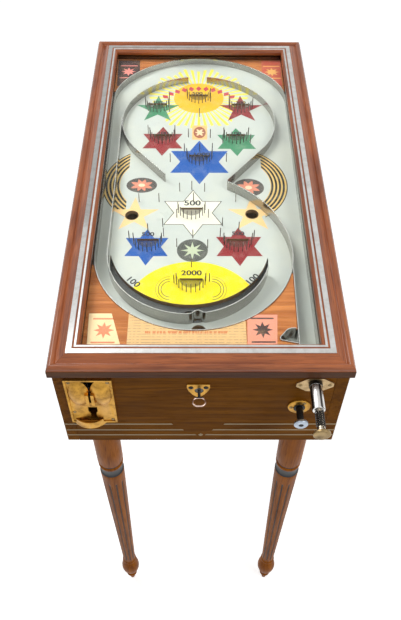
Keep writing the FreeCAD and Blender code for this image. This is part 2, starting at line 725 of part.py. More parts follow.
def build_rails():
    """The bent metal strips that guide the ball, and the thin border round the field."""
    keep(shaped("outer_strip", strip(outer_path())), "outer_rail")
    keep(shaped("right_strip", strip(right_path())), "right_rail")
    keep(shaped("left_strip", strip(left_path())), "left_rail")
    keep(shaped("inner_strip", strip(inner_path())), "inner_rail")
    window = Part.makeBox(20, 22, 60, V(well_x + 2.5, well_y - 11, box_top - 64))
    keep(shaped("lane_strip", strip([straight(*LANE)]).cut(window)), "lane_rail")
    lever_gap = Part.makeBox(11, 9, 60, V(well_x - 5.5, well_y - 16, box_top - 78))
    keep(shaped("hoop_strip", strip(corner_runs(HOOP, HOOP_BENDS)).cut(lever_gap)), "lift_hoop")
    gauge = d.strip_gauge
    left, right, front, rear = field_left, field_right, field_front, field_rear
    runs = [[(left - gauge, front - gauge), (left, front - gauge), (left, rear + gauge), (left - gauge, rear + gauge)],
            [(right, front), (right + gauge, front), (right + gauge, rear + gauge), (right, rear + gauge)],
            [(left, rear), (right, rear), (right, rear + gauge), (left, rear + gauge)],
            [(left, front - gauge), (LANE[1][0], front - gauge), (LANE[1][0], front), (left, front)]]
    border = [standing(polygon(points), box_top - 0.5) for points in runs]
    keep(shaped("border_strips", border[0].multiFuse(border[1:]).removeSplitter()), "field_border")


CARDS = [[at(*corner) for corner in card] for card in [
    [(-161, -359), (-163, -302), (-130, -302), (-114, -359)],
    [(-105, -361), (65, -361), (65, -300), (-105, -300)],
    [(66, -359), (68, -304), (112, -304), (108, -359)],
    [(-166, 371), (-122, 371), (-118, 280), (-163, 280)],
    [(128, 372), (167, 372), (164, 280), (126, 280)],
]]


def build_plates():
    """The raised wooden plates in the corners of the field, their blocks, and the printed cards on them."""
    gap = d.joint_gap
    level = box_top
    clear = d.strip_gauge / 2 + gap
    left = field_left + gap
    front = field_front + gap
    lane = V(*LANE[1]) - V(*LANE[0])
    slant = lane.x / lane.y

    def lane_x(y):
        return LANE[0][0] + slant * (y - LANE[0][1]) - clear

    corner = polygon([(left, front), (lane_x(front), front), (lane_x(down(-222)), down(-222)), (left, down(-205))])
    hoop = band(corner_runs(HOOP, HOOP_BENDS), clear)
    inside = polygon([(well_x + x, well_y + y) for x, y in [(9.8, 13.5), (-3.5, 12), (-15.5, -6), (9.8, -13.5)]])
    past_hoop = polygon([(well_x + x, well_y + y) for x, y in [(2.5, 13), (22.5, 13), (22.5, -13), (2.5, -13)]])
    corner = corner.cut(disc(BASIN[0], BASIN[1] + clear)).cut(hoop.fuse(inside).fuse(past_hoop))

    def plate(face):
        sheet_face = face.copy()
        sheet_face.translate(V(0, 0, level - d.plate_thick))
        return sheet_face.extrude(UP * d.plate_thick)

    front_plate = max(plate(corner).Solids, key=lambda s: s.Volume)
    keep(shaped("front_corner", front_plate), "front_plate")
    arch = arch_runs()
    outline = [run_edge(run, -clear) for run in arch]
    ends = [outline[0].Vertexes[0].Point, outline[-1].Vertexes[-1].Point]
    closing = Part.LineSegment(ends[1], ends[0]).toShape()
    under_arch = Part.Face(Part.Wire(Part.__sortEdges__(outline + [closing])))
    far = field_rear - gap
    rear_plates = []
    for side in (-1, 1):
        edge = field_left + gap if side < 0 else field_right - gap
        inside = side * across(42)
        face = polygon([(edge, down(262)), (edge, far), (inside, far), (inside, down(262))])
        rear_plates.append(max(plate(face.cut(under_arch)).Solids, key=lambda s: s.Volume))
    keep(group("rear_corners", [shaped("rear_corner", solid) for solid in rear_plates]), "rear_plates")
    seats = front_plate.fuse(rear_plates)
    seats.translate(UP * d.plate_thick)
    cards = []
    for points in CARDS:
        card = polygon(points)
        card.translate(V(0, 0, level))
        cards.append(shaped("card", card.extrude(UP * d.card_thick).common(seats)))
    keep(group("card_set", cards), "paper_cards")
    places = [at(-150, -357), at(-12, -357), at(100, -364), at(-150, 358), at(152, 358)]
    half = 8
    blocks = []
    for x, y in places:
        face = polygon([(x - half, y - half), (x + half, y - half), (x + half, y + half), (x - half, y + half)])
        blocks.append(shaped("plate_block", standing(face, level - d.plate_thick)))
    keep(group("plate_block_set", blocks), "plate_blocks")


def front_sheet(points, thick, y=None):
    """A flat piece that lies on the front panel, from its outline in X and Z."""
    y = front_face if y is None else y
    corners = [V(x, y, z) for x, z in points]
    return Part.Face(Part.makePolygon(corners + corners[:1])).extrude(V(0, -thick, 0))


def along_y(radius, start, length, x, z, way=-1):
    return Part.makeCylinder(radius, length, V(x, start, z), V(0, way, 0))


def coil(name, x, z, start, end, radius, wire, turns):
    """A round wire spring about an axis along Y, swept on pairs of arcs, with straight ends."""
    pitch = (end - start) / turns
    rise = pitch / (2 * math.pi)

    def spot(angle):
        return V(x + radius * math.cos(angle), start + rise * angle, z + radius * math.sin(angle))

    def heading(angle):
        return V(-radius * math.sin(angle), rise, radius * math.cos(angle)).normalize()

    def tangent_arc(begin, ahead, finish):
        """The arc that leaves begin along ahead and ends at finish."""
        chord = finish - begin
        half = ahead.getAngle(chord)
        aside = (ahead - chord * (ahead.dot(chord) / chord.dot(chord))).normalize()
        middle = begin + chord / 2 + aside * (chord.Length / 2 * math.tan(half / 2))
        return Part.Arc(begin, middle, finish).toShape()

    quarter = math.pi / 2
    edges = [Part.LineSegment(spot(0) - heading(0) * wire, spot(0)).toShape()]
    for number in range(int(turns * 4)):
        p0, p1 = spot(number * quarter), spot((number + 1) * quarter)
        t0, t1 = heading(number * quarter), heading((number + 1) * quarter)
        step, both = p1 - p0, t0 + t1
        square = 4 - both.dot(both)
        dot = step.dot(both)
        reach = (-dot + math.sqrt(dot ** 2 + square * step.dot(step))) / square
        middle = (p0 + t0 * reach + p1 - t1 * reach) / 2
        edges.append(tangent_arc(p0, t0, middle))
        edges.append(tangent_arc(middle, (p1 - t1 * reach - p0 - t0 * reach).normalize(), p1))
    last = turns * 2 * math.pi
    edges.append(Part.LineSegment(spot(last), spot(last) + heading(last) * wire).toShape())
    path = Part.Wire(edges)
    section = Part.Wire(Part.makeCircle(wire / 2, spot(0) - heading(0) * wire, heading(0)))
    pipe = Part.BRepOffsetAPI.MakePipeShell(path)
    pipe.add(section)
    pipe.build()
    pipe.makeSolid()
    print(name, "least gap between turns", round(abs(pitch) * math.cos(math.atan(rise / radius)) - wire, 2))
    return shaped(name, pipe.shape())


def screw(x, z, seat, depth, head):
    """A domed wood screw in the front panel, its slot across."""
    dome = Part.makeSphere(head * 1.25, V(x, seat + head * 0.75, z))
    dome = dome.common(Part.makeBox(20, 20, 20, V(x - 10, seat - 20, z - 10)))
    slot = Part.makeBox(2 * head + 2, 1, 0.8, V(x - head - 1, seat - 1.8, z - 0.4))
    return dome.cut(slot).fuse(along_y(d.screw_radius, seat, depth, x, z, 1)).removeSplitter()


PLUNGER_SCREWS = [(-20.5, -4), (20.5, -4)]
LIFT_SCREWS = [(-12, 0), (6, 10.4), (6, -10.4)]
COIN_SCREWS = [(-27, 47.5), (27, 47.5), (-27, -28), (27, -48.5)]
LOCK_SCREWS = [(-10.5, 7.5), (10.5, 7.5)]
SHIELD_THICK = 1.5


def build_plunger():
    """The spring plunger: eared flange and barrel, rod, knob, and its two springs."""
    x = plunger_x
    z = box_top - d.plunger_drop
    ears = [(-26, -8), (-26, 0), (-11, 11), (11, 11), (26, 0), (26, -8), (11, -19), (-11, -19)]
    flange = front_sheet([(x + a, z + b) for a, b in ears], d.flange_thick)
    flange = flange.cut(along_y(d.barrel_root_radius, front_face + 1, 20, x, z))
    for a, b in PLUNGER_SCREWS:
        flange = flange.cut(along_y(d.screw_radius, front_face + 1, 20, x + a, z + b))
    keep(shaped("eared_flange", flange), "plunger_flange")
    mouth = d.barrel_length
    sleeve = d.wall + 4.5
    bore = d.barrel_bore
    wall = 3
    outer = d.barrel_radius
    root = d.barrel_root_length
    hole = d.plunger_rod_radius + d.rod_running
    outline = [(hole, mouth), (outer - 0.8, mouth), (outer, mouth - 0.8), (outer, root), (d.barrel_root_radius, root),
               (d.barrel_root_radius, 0), (d.sleeve_radius, 0), (d.sleeve_radius, -sleeve), (bore, -sleeve),
               (bore, mouth - wall), (hole, mouth - wall)]
    keep(lay(turned("barrel_turning", lines(outline)), (x, front_face, z), OUT), "plunger_barrel")
    tip_y = front_face + d.plunger_inside
    tip = d.plunger_rod_radius
    collar = -d.wall + 0.3 + d.plunger_inside
    back = d.plunger_inside + d.plunger_reach - d.knob_length
    ferrule = d.ferrule_radius
    neck = back - d.ferrule_length
    end = back + d.knob_length - 1
    rod_outline = [(0, 0), (tip - 1, 0), (tip, 1.5), (tip, collar - d.collar_length),
                   (d.collar_radius, collar - d.collar_length), (d.collar_radius, collar), (tip, collar),
                   (tip, neck), (ferrule - 0.9, neck), (ferrule - 0.9, neck + 3.2), (ferrule, neck + 3.8),
                   (ferrule, back), (tip, back), (tip, end), (0, end)]
    keep(lay(turned("rod_turning", lines(rod_outline)), (x, tip_y, z), OUT), "plunger_rod")
    knob = d.knob_radius
    long = d.knob_length
    knob_outline = [(tip, 0), (knob - 1.2, 0), (knob, 1), (knob, long - 1.6), (knob - 1.4, long - 0.4),
                    (knob - 5, long), (0, long), (0, end - back), (tip, end - back)]
    keep(lay(turned("knob_turning", lines(knob_outline)), (x, tip_y - back, z), OUT), "plunger_knob")
    wire = d.cushion_wire
    start = front_face - mouth - 0.4 - wire / 2
    finish = tip_y - neck + 0.3 + wire / 2
    keep(coil("cushion_coil", x, z, finish, start, d.cushion_radius, wire, d.cushion_turns), "cushion_spring")
    wire = d.main_wire
    start = tip_y - collar - 0.4 - wire / 2
    finish = front_face - mouth + wall + 0.4 + wire / 2
    keep(coil("main_coil", x, z, finish, start, d.main_radius, wire, d.main_turns), "main_spring")


def build_lift():
    """The ball lift: flange, push rod and knob, and the lever that raises the ball through the well."""
    x = lift_x
    z = box_top - d.lift_drop
    thick = d.lift_flange_thick
    rim = d.lift_flange_radius
    hub = d.lift_hub_radius
    hole = d.lift_rod_radius + d.rod_running
    outline = [(hole, 0), (rim, 0), (rim, thick - 1), (rim - 1.2, thick), (hub, thick), (hub, d.lift_hub_thick),
               (hole, d.lift_hub_thick)]
    flange = lay(turned("flange_turning", lines(outline)), (x, front_face, z), OUT)
    holes = [rod("flange_hole", "{screw_radius}", "20", (x + a, front_face + 5, z + b), OUT) for a, b in LIFT_SCREWS]
    keep(cut("flange_drilled", flange, holes), "lift_flange")
    tip_y = front_face + d.wall + 14.3
    inside = tip_y - front_face
    r = d.lift_rod_radius
    knob = d.lift_knob_radius
    out = inside + d.lift_reach
    collar = inside - d.wall - 0.3
    rod_outline = [(0, 0), (r - 1.5, 0), (r, 2), (r, collar - 3), (r + 2, collar - 3), (r + 2, collar), (r, collar),
                   (r, out - d.lift_knob_thick - 2), (r - 1.5, out - d.lift_knob_thick), (r - 1.5, out), (0, out)]
    keep(lay(turned("push_rod_turning", lines(rod_outline)), (x, tip_y, z), OUT), "lift_rod")
    t = d.lift_knob_thick
    knob_outline = [(r - 1.5, 0), (knob - 2, 0), (knob, 1.4), (knob, t - 1.5), (knob - 1.5, t), (r - 1.5, t)]
    keep(lay(turned("push_knob_turning", lines(knob_outline)), (x, front_face - d.lift_reach + t, z), OUT),
         "lift_knob")
    pivot_z = box_top - d.lever_drop
    hub = d.lever_hub_radius
    left = well_x - 8.5
    right = lift_x + 5.2
    along = V(1, 0, 0)
    pin = d.lever_pin_radius
    face_y = tip_y + 0.5
    lower = z - 6

    def slab(points, x0, x1):
        corners = [V(x0, y, height) for y, height in points]
        return Part.Face(Part.makePolygon(corners + corners[:1])).extrude(V(x1 - x0, 0, 0))

    bar = slab([(pivot_y, pivot_z - 3.5), (face_y, pivot_z - 3.5), (face_y, lower), (face_y + 4, lower),
                (face_y + 4, pivot_z + 1.5), (pivot_y, pivot_z + 3)], x - 4, x + 4)
    pad_y = pivot_y + d.lever_arm
    pad_z = pivot_z - 8
    arm = slab([(pivot_y, pivot_z - 3.5), (pad_y - 3, pad_z - 4), (pad_y, pad_z - 4), (pad_y, pad_z),
                (pivot_y, pivot_z + 3)], well_x - 4, well_x + 4)
    pad_disc = Part.makeCylinder(4.7, 4, V(well_x, pad_y, pad_z - 4))
    lever = Part.makeCylinder(hub, right - left, V(left, pivot_y, pivot_z), along).multiFuse([bar, arm, pad_disc])
    bore = Part.makeCylinder(pin + d.rod_running, right - left, V(left, pivot_y, pivot_z), along)
    keep(shaped("bell_crank", lever.cut(bore).removeSplitter()), "lift_lever")
    gap = d.joint_gap
    behind = -inner_l
    ear = 3
    base = Part.makeBox(right - left + 2 * (ear + gap), 1.6, 20, V(left - gap - ear, behind, pivot_z - 12))
    parts = [Part.makeCylinder(pin, right - left + 2 * (ear + gap), V(left - gap - ear, pivot_y, pivot_z), along)]
    for start in (left - gap - ear, right + gap):
        parts.append(Part.makeBox(ear, pivot_y + 5 - behind, 13, V(start, behind, pivot_z - 7)))
    keep(shaped("bracket", base.multiFuse(parts).removeSplitter()), "lever_bracket")


def build_lock():
    """The lid lock: case, escutcheon, key and the strike plate under the lid."""
    x = d.lock_x
    z = box_top - d.key_drop
    plug = d.plug_radius
    hole = d.key_radius + d.rod_running
    case = Part.makeBox(40, 14, 30, V(x - 20, -inner_l, z - 15))
    plug_out = d.wall + 1
    case = case.fuse(along_y(plug, -inner_l, plug_out, x, z)).removeSplitter()
    case = case.cut(along_y(hole, front_face + 10.3, 20, x, z))
    keep(shaped("lock_body", case), "lock_case")
    shield = [(-16, 15), (16, 15), (16.4, 7), (13.5, -2), (8, -10.5), (0, -18), (-8, -10.5), (-13.5, -2), (-16.4, 7)]
    plate = front_sheet([(x - 1 + a, z + b) for a, b in shield], SHIELD_THICK)
    plate = plate.cut(along_y(plug + d.joint_gap, front_face + 1, 10, x, z))
    for a, b in LOCK_SCREWS:
        plate = plate.cut(along_y(d.screw_radius, front_face + 1, 10, x - 1 + a, z + b))
    keep(shaped("shield_plate", plate), "escutcheon")
    r = d.key_radius
    inner_end = front_face + 9.8
    bow_back = front_face - 11.7
    shank = along_y(r, inner_end, inner_end - bow_back + 1.2, x, z)
    flat = 4
    bend = 6.7
    wire = 1.3
    centre_y = bow_back - 1.2 - bend
    path = [straight((x - flat / 2, centre_y - bend, 0), (x + flat / 2, centre_y - bend, 0)),
            curve((x + flat / 2, centre_y, 0), bend, -90, 90),
            straight((x + flat / 2, centre_y + bend, 0), (x - flat / 2, centre_y + bend, 0)),
            curve((x - flat / 2, centre_y, 0), bend, 90, 270)]
    ring = None
    for run in path:
        edge = run_edge(run, 0)
        edge.translate(V(0, 0, z))
        begin = edge.valueAt(edge.FirstParameter)
        section = Part.Wire(Part.makeCircle(wire, begin, edge.tangentAt(edge.FirstParameter)))
        piece = Part.Wire([edge]).makePipeShell([section], True, False)
        ring = piece if ring is None else ring.fuse(piece)
    keep(shaped("key_and_bow", shank.fuse(ring).removeSplitter()), "key")
    strike = Part.makeBox(38, 12, 1.5, V(x - 19, -inner_l + 1, box_top + d.joint_gap - 1.5))
    staple = Part.makeBox(12, 3, 18, V(x - 6, -inner_l + 5, box_top - 19))
    keep(shaped("strike", strike.fuse(staple).removeSplitter()), "strike_plate")


def coin_levels():
    """Top, middle and lowest edge of the coin plate."""
    top = box_top - d.coin_drop
    low = top - d.coin_height
    return top, (top + low) / 2, low


def coin_outline(margin):
    """The coin plate's rectangle, drawn in by a margin."""
    top, _, low = coin_levels()
    side = d.coin_width / 2 - margin
    return [(coin_x - side, low + margin), (coin_x + side, low + margin), (coin_x + side, top - margin),
            (coin_x - side, top - margin)]


def build_coin():
    """The coin entry: lobed plate, slotted boss, return cup, chute and cash box."""
    x = coin_x
    top, middle, low = coin_levels()
    thick = d.coin_plate_thick
    rim = thick + d.coin_rim
    slot_end = middle + 26

    def opening(points):
        """A cut through the plate, from points about its centre."""
        return front_sheet([(x + a, middle + b) for a, b in points], 30, front_face + 1)

    plate = front_sheet(coin_outline(0), thick)
    plate = plate.fuse(front_sheet(coin_outline(0), rim).cut(front_sheet(coin_outline(3), rim + 1)))
    plate = plate.cut(opening([(-15, top - middle - 3.5), (15, top - middle - 3.5), (2.5, 25), (-2.5, 25)]))
    front_side = Part.makeBox(100, 40, 200, V(x - 50, front_face - thick - 39.5, low - 20))
    swell = Part.Arc(V(0, 0, -56), V(21.75, 0, 0), V(0, 0, 56)).toShape()
    outline = Part.Wire([swell, Part.LineSegment(V(0, 0, 56), V(0, 0, -56)).toShape()])
    for side in (-1, 1):
        lobe = Part.Face(outline).revolve(CENTRE, UP, 360)
        lobe.translate(V(x + side * 15.9, front_face - thick + 15.75, middle + 20))
        plate = plate.fuse(lobe.common(front_side))
    slit = opening([(-1.6, slot_end - middle), (1.6, slot_end - middle), (1.6, -4), (-1.6, -4)])
    way_out = opening([(-6.5, -15), (6.5, -15), (6.8, -26), (4.2, -31), (4.2, -40), (7, -48), (-7, -48),
                       (-4.2, -40), (-4.2, -31), (-6.8, -26)])
    plate = plate.cut(slit).cut(way_out)
    for a, b in COIN_SCREWS:
        plate = plate.cut(along_y(d.screw_radius, front_face + 1, 20, x + a, middle + b))
    keep(shaped("coin_plate_casting", plate.removeSplitter()), "coin_plate")
    boss = front_sheet([(x - 6, middle - 2), (x + 6, middle - 2), (x + 6, middle + 24), (x - 6, middle + 24)], 6,
                       front_face - thick)
    keep(shaped("slot_boss", boss.cut(slit).cut(plate)), "coin_boss")
    foot = low - 5.5
    cup_x = x - d.cup_aside
    cup_y = front_face - d.cup_out + d.cup_radius
    cup = Part.makeCylinder(d.cup_radius, d.cup_height, V(cup_x, cup_y, foot))
    hollow = Part.makeCylinder(d.cup_radius - 2, d.cup_height, V(cup_x, cup_y, foot + 2))
    front_only = Part.makeBox(100, 40, 60, V(x - 50, front_face - 40, low - 30))
    cup = cup.cut(hollow).common(front_only).cut(front_sheet(coin_outline(0), rim))
    keep(shaped("return_cup", cup), "coin_cup")
    inside = 5
    skin = 2
    start = -inner_l
    reach = 72
    drop = 42

    def tube(half_width, grow):
        points = [(start, top - 24 + grow), (start, middle - 14 - grow), (start + reach, middle - 14 - drop - grow),
                  (start + reach, top - 24 - drop + grow)]
        corners = [V(x - half_width, y, z) for y, z in points]
        return Part.Face(Part.makePolygon(corners + corners[:1])).extrude(V(2 * half_width, 0, 0))

    flange = Part.makeBox(50, skin, 51, V(x - 25, start, middle - 18))
    keep(shaped("sloping_chute", tube(inside + skin, skin).fuse(flange).cut(tube(inside, 0))), "coin_chute")
    floor_z = box_bottom + d.bottom_thick
    tin_y = start + 54.3
    tin = Part.makeBox(80, 90, 30, V(x - 26, tin_y, floor_z))
    tin = tin.cut(Part.makeBox(76, 86, 30, V(x - 24, tin_y + 2, floor_z + 2)))
    keep(shaped("coin_tin", tin), "cash_box")


def build_front_trim():
    """The pale inlay lines with a small diamond between them, and the screws of the front fittings."""
    t = d.inlay_thick
    h = d.inlay_height / 2
    lines_at = [(48.9, -41.6, 34.8), (32, -25.4, 17.8), (17, -6, 6.7)]
    reach = half_w - 0.3
    pieces = []
    for level, left, right in lines_at:
        z = box_bottom + level
        pieces.append(front_sheet([(-reach, z - h), (left, z - h), (left - 2, z + h), (-reach, z + h)], t))
        pieces.append(front_sheet([(right, z - h), (reach, z - h), (reach, z + h), (right + 2, z + h)], t))
    diamond = box_bottom + 17
    pieces.append(front_sheet([(0.4, diamond - 4), (4.4, diamond), (0.4, diamond + 4), (-3.6, diamond)], t))
    coin_place = front_sheet(coin_outline(-d.joint_gap), t)
    pieces = [piece.cut(coin_place) for piece in pieces]
    keep(group("inlay_set", [shaped("inlay", piece) for piece in pieces]), "front_inlays")
    head = d.screw_head_radius

    def seats(places, x, z, thick, size):
        return [(x + a, z + b, front_face - thick, 12, size) for a, b in places]

    screws = seats(PLUNGER_SCREWS, plunger_x, box_top - d.plunger_drop, d.flange_thick, head)
    screws += seats(LIFT_SCREWS, lift_x, box_top - d.lift_drop, d.lift_flange_thick, head)
    screws += seats(COIN_SCREWS, coin_x, coin_levels()[1], d.coin_plate_thick, head)
    screws += seats(LOCK_SCREWS, d.lock_x - 1, box_top - d.key_drop, SHIELD_THICK, d.lock_screw_radius)
    keep(group("screw_set", [shaped("screw", screw(*seat)) for seat in screws]), "brass_screws")


def build_inside():
    """The return tray that hangs under the board, and the steel balls that rest in it."""
    left = across(-140)
    right = well_x - 21.5
    front = 26.3 - inner_l
    rear = down(-30)
    deep = 28
    floor = 4
    rim = 4
    lip = well_x - 6
    stop = well_x + 6
    mouth = well_y + 15
    floors = [(left, front, right, rear), (right, front, lip, mouth)]
    walls = [(left - rim, front, left, rear), (right, mouth, right + rim, rear),
             (left - rim, front - rim, lip, front), (right, mouth, stop + 3, mouth + rim),
             (stop, front - rim, stop + 3, mouth)]

    def layer(area, upper):
        x0, y0, x1, y1 = area
        return sloping(polygon([(x0, y0), (x1, y0), (x1, y1), (x0, y1)]), upper, deep + floor)

    pieces = [layer(area, deep) for area in floors] + [layer(area, d.board_thick) for area in walls]
    tray = pieces[0].multiFuse(pieces[1:]).cut(gutter_sheet())
    keep(shaped("tray_with_bearers", tray.removeSplitter()), "return_tray")
    balls = []
    r = d.ball_radius
    lean = math.radians(d.board_slope)
    for number in range(5):
        y = front + r + 0.3
        z = field_z(y) - deep + r / math.cos(lean)
        ball = doc.addObject("Part::Sphere", "ball")
        formula(ball, "Radius", "{ball_radius}")
        ball.Placement.Base = V(right - r - 1 - number * (2 * r + 1), y, z)
        balls.append(ball)
    keep(group("ball_set", balls), "steel_balls")


build_box()
build_legs()
build_lid()
build_hinges()
build_board()
build_rails()
build_plates()
build_plunger()
build_lift()
build_lock()
build_coin()
build_front_trim()
build_inside()
doc.recompute()

os.makedirs("parts", exist_ok=True)
for obj in doc.Objects:
    if "Invalid" in obj.State or "Error" in obj.State:
        raise RuntimeError("%s did not build" % obj.Name)
for obj in subparts:
    if obj.Shape.isNull() or not obj.Shape.isValid():
        raise RuntimeError("%s has no valid shape" % obj.Label)
    obj.Shape.exportStep("parts/%s.step" % obj.Label)
    print(obj.Label, len(obj.Shape.Solids), round(obj.Shape.Volume), obj.Shape.BoundBox)
print(len(subparts), "sub-parts")
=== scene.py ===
"""Looks of a coin bagatelle table: woods, metals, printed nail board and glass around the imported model."""

from __future__ import annotations

import json
import logging
import math
from dataclasses import dataclass
from enum import Enum
from typing import Callable, Iterable, Optional, Sequence, Union

import bmesh
import bpy
from mathutils import Matrix, Vector

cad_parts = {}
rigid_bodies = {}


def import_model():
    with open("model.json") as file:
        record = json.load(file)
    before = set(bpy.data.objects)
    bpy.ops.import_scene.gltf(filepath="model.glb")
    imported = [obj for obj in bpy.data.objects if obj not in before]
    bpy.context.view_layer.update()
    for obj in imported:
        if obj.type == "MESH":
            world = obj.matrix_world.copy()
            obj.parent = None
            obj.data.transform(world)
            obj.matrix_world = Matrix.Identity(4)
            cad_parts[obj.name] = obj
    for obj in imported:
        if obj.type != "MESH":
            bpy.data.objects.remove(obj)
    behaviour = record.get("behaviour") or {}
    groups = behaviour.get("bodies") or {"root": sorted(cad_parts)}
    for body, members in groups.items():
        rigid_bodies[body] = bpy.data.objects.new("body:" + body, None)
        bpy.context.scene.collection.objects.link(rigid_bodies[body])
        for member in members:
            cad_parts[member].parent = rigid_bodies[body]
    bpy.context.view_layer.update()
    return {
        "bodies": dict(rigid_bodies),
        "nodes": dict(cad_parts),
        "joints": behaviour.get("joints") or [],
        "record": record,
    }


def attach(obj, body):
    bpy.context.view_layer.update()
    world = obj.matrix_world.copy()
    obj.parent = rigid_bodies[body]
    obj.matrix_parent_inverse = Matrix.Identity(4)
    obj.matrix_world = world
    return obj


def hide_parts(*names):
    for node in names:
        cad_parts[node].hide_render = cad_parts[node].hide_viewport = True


LOG = logging.getLogger("bagatelle_table")
MM = 0.001
PLAN_SHIFT = 36.8
BOARD_MIDDLE = 905.0
BOARD_SLOPE = math.radians(1.0)
POCKET_STEP = 1.5
FASCIA_TOP = 936.2
FULL_TURN = 2.0 * math.pi
SHARP_EDGE = 32.0
WHITE = (1.0, 1.0, 1.0)
Colour = tuple[float, float, float]
Socket = bpy.types.NodeSocket
Value = Union[float, int, Sequence[float], Socket]


def plan(x: float, y: float, z: float = 0.0) -> Vector:
    """Turn millimetres about the lid's centre into metres in the table's own frame."""
    return Vector((x, y + PLAN_SHIFT, z)) * MM


def board_height(y: float) -> float:
    """Height in millimetres of the sloping board's top at plan position y."""
    return BOARD_MIDDLE + math.tan(BOARD_SLOPE) * y


@dataclass(frozen=True)
class Oval:
    """An oval or a rectangle in plan: its middle and its half sizes in millimetres."""

    x: float
    y: float
    wide: float
    tall: float


class Body(str, Enum):
    """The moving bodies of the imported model."""

    CABINET = "cabinet"
    LID = "lid"
    KEY = "key"
    PLUNGER = "plunger"
    LIFT = "lift"
    LEVER = "lift_lever"


class Along(Enum):
    """The direction in which a board's grain runs."""

    X = (0.0, math.pi / 2, 0.0)
    Y = (math.pi / 2, 0.0, 0.0)
    Z = (0.0, 0.0, 0.0)


class Graph:
    """Short calls for building one shader node tree."""

    def __init__(self, tree: bpy.types.NodeTree) -> None:
        """Keep the tree that the nodes go into."""
        self.tree = tree

    def add(self, kind: str, **settings: object) -> bpy.types.Node:
        """Add one node.

        Args:
            kind: The node's type name.
            **settings: Properties to set on it.

        Returns:
            The new node.
        """
        node = self.tree.nodes.new(kind)
        for name, value in settings.items():
            setattr(node, name, value)
        return node

    def feed(self, socket: Socket, value: Value) -> None:
        """Link a socket to another, or set its own value.

        Args:
            socket: The input socket.
            value: Another socket, a number, a vector, or a colour of three numbers.
        """
        if isinstance(value, Socket):
            self.tree.links.new(value, socket)
        elif isinstance(value, (tuple, list)) and len(value) == 3 and socket.type == "RGBA":
            socket.default_value = (*value, 1.0)
        else:
            socket.default_value = value

    def fill(self, node: bpy.types.Node, **inputs: Value) -> bpy.types.Node:
        """Feed several inputs of a node.

        Args:
            node: The node.
            **inputs: Their values, with an underscore for each space in a name.

        Returns:
            The same node.
        """
        for name, value in inputs.items():
            self.feed(node.inputs[name.replace("_", " ")], value)
        return node

    def math(self, operation: str, a: Value, b: Value = 0.0, c: Value = 0.0) -> Socket:
        """Work out one number.

        Args:
            operation: The Math node's operation.
            a: Its first number.
            b: Its second number.
            c: Its third number.

        Returns:
            The result.
        """
        node = self.add("ShaderNodeMath", operation=operation)
        for socket, value in zip(node.inputs, (a, b, c)):
            self.feed(socket, value)
        return node.outputs[0]

    def times(self, a: Value, b: Value, plus: Optional[Value] = None) -> Socket:
        """Multiply two numbers, and add a third where there is one."""
        return self.math("MULTIPLY", a, b) if plus is None else self.math("MULTIPLY_ADD", a, b, plus)

    def below(self, a: Value, b: Value) -> Socket:
        """One where a number is smaller than another."""
        return self.math("LESS_THAN", a, b)

    def above(self, a: Value, b: Value) -> Socket:
        """One where a number is larger than another."""
        return self.math("GREATER_THAN", a, b)

    def offset(self, value: Value, middle: Value) -> Socket:
        """How far a number lies above a middle."""
        return self.math("SUBTRACT", value, middle)

    def mix(self, factor: Value, a: Value, b: Value) -> Socket:
        """Mix two colours.

        Args:
            factor: 0 gives a and 1 gives b.
            a: The first colour.
            b: The second colour.

        Returns:
            The mixed colour.
        """
        node = self.add("ShaderNodeMix", data_type="RGBA")
        for index, value in ((0, factor), (6, a), (7, b)):
            self.feed(node.inputs[index], value)
        return node.outputs[2]

    def blend(self, factor: Value, a: Value, b: Value) -> Socket:
        """Mix two numbers.

        Args:
            factor: 0 gives a and 1 gives b.
            a: The first number.
            b: The second number.

        Returns:
            The mixed number.
        """
        node = self.add("ShaderNodeMix", data_type="FLOAT")
        for index, value in ((0, factor), (2, a), (3, b)):
            self.feed(node.inputs[index], value)
        return node.outputs[0]

    def step(self, value: Value, low: float, high: float) -> Socket:
        """Step smoothly from 0 to 1.

        Args:
            value: The number that is compared.
            low: Where the result is still 0.
            high: Where it has reached 1.

        Returns:
            The step.
        """
        node = self.add("ShaderNodeMapRange", interpolation_type="SMOOTHSTEP")
        self.feed(node.inputs[0], value)
        node.inputs[1].default_value = low
        node.inputs[2].default_value = high
        return node.outputs[0]

    def noise(self, vector: Value, scale: float, detail: float = 3.0, roughness: float = 0.55,
              distortion: float = 0.0) -> Socket:
        """Make noise between 0 and 1.

        Args:
            vector: Where it is read.
            scale: Its scale.
            detail: How many finer layers it has.
            roughness: How strong the finer layers are.
            distortion: How far it is bent.

        Returns:
            The noise.
        """
        node = self.add("ShaderNodeTexNoise")
        self.fill(node, Vector=vector, Scale=scale, Detail=detail, Roughness=roughness, Distortion=distortion)
        return node.outputs[0]

    def place(self, vector: Value, location: Sequence[float] = (0, 0, 0), turn: Sequence[float] = (0, 0, 0),
              scale: Sequence[float] = (1, 1, 1)) -> Socket:
        """Move, turn and scale a texture vector.

        Args:
            vector: The vector.
            location: What is added to it.
            turn: The angles that it is turned by.
            scale: What it is multiplied by first.

        Returns:
            The new vector.
        """
        node = self.add("ShaderNodeMapping")
        self.feed(node.inputs[0], vector)
        for index, value in ((1, location), (2, turn), (3, scale)):
            node.inputs[index].default_value = value
        return node.outputs[0]

    def position(self) -> Socket:
        """The surface point in the table's own frame."""
        return self.add("ShaderNodeTexCoord").outputs["Object"]

    def split(self, vector: Value) -> tuple[Socket, ...]:
        """The three numbers of a vector."""
        return tuple(self.fill(self.add("ShaderNodeSeparateXYZ"), Vector=vector).outputs)

    def use(self, group: bpy.types.NodeTree, **inputs: Value) -> bpy.types.Node:
        """Place a node group with its own values."""
        return self.fill(self.add("ShaderNodeGroup", node_tree=group), **inputs)

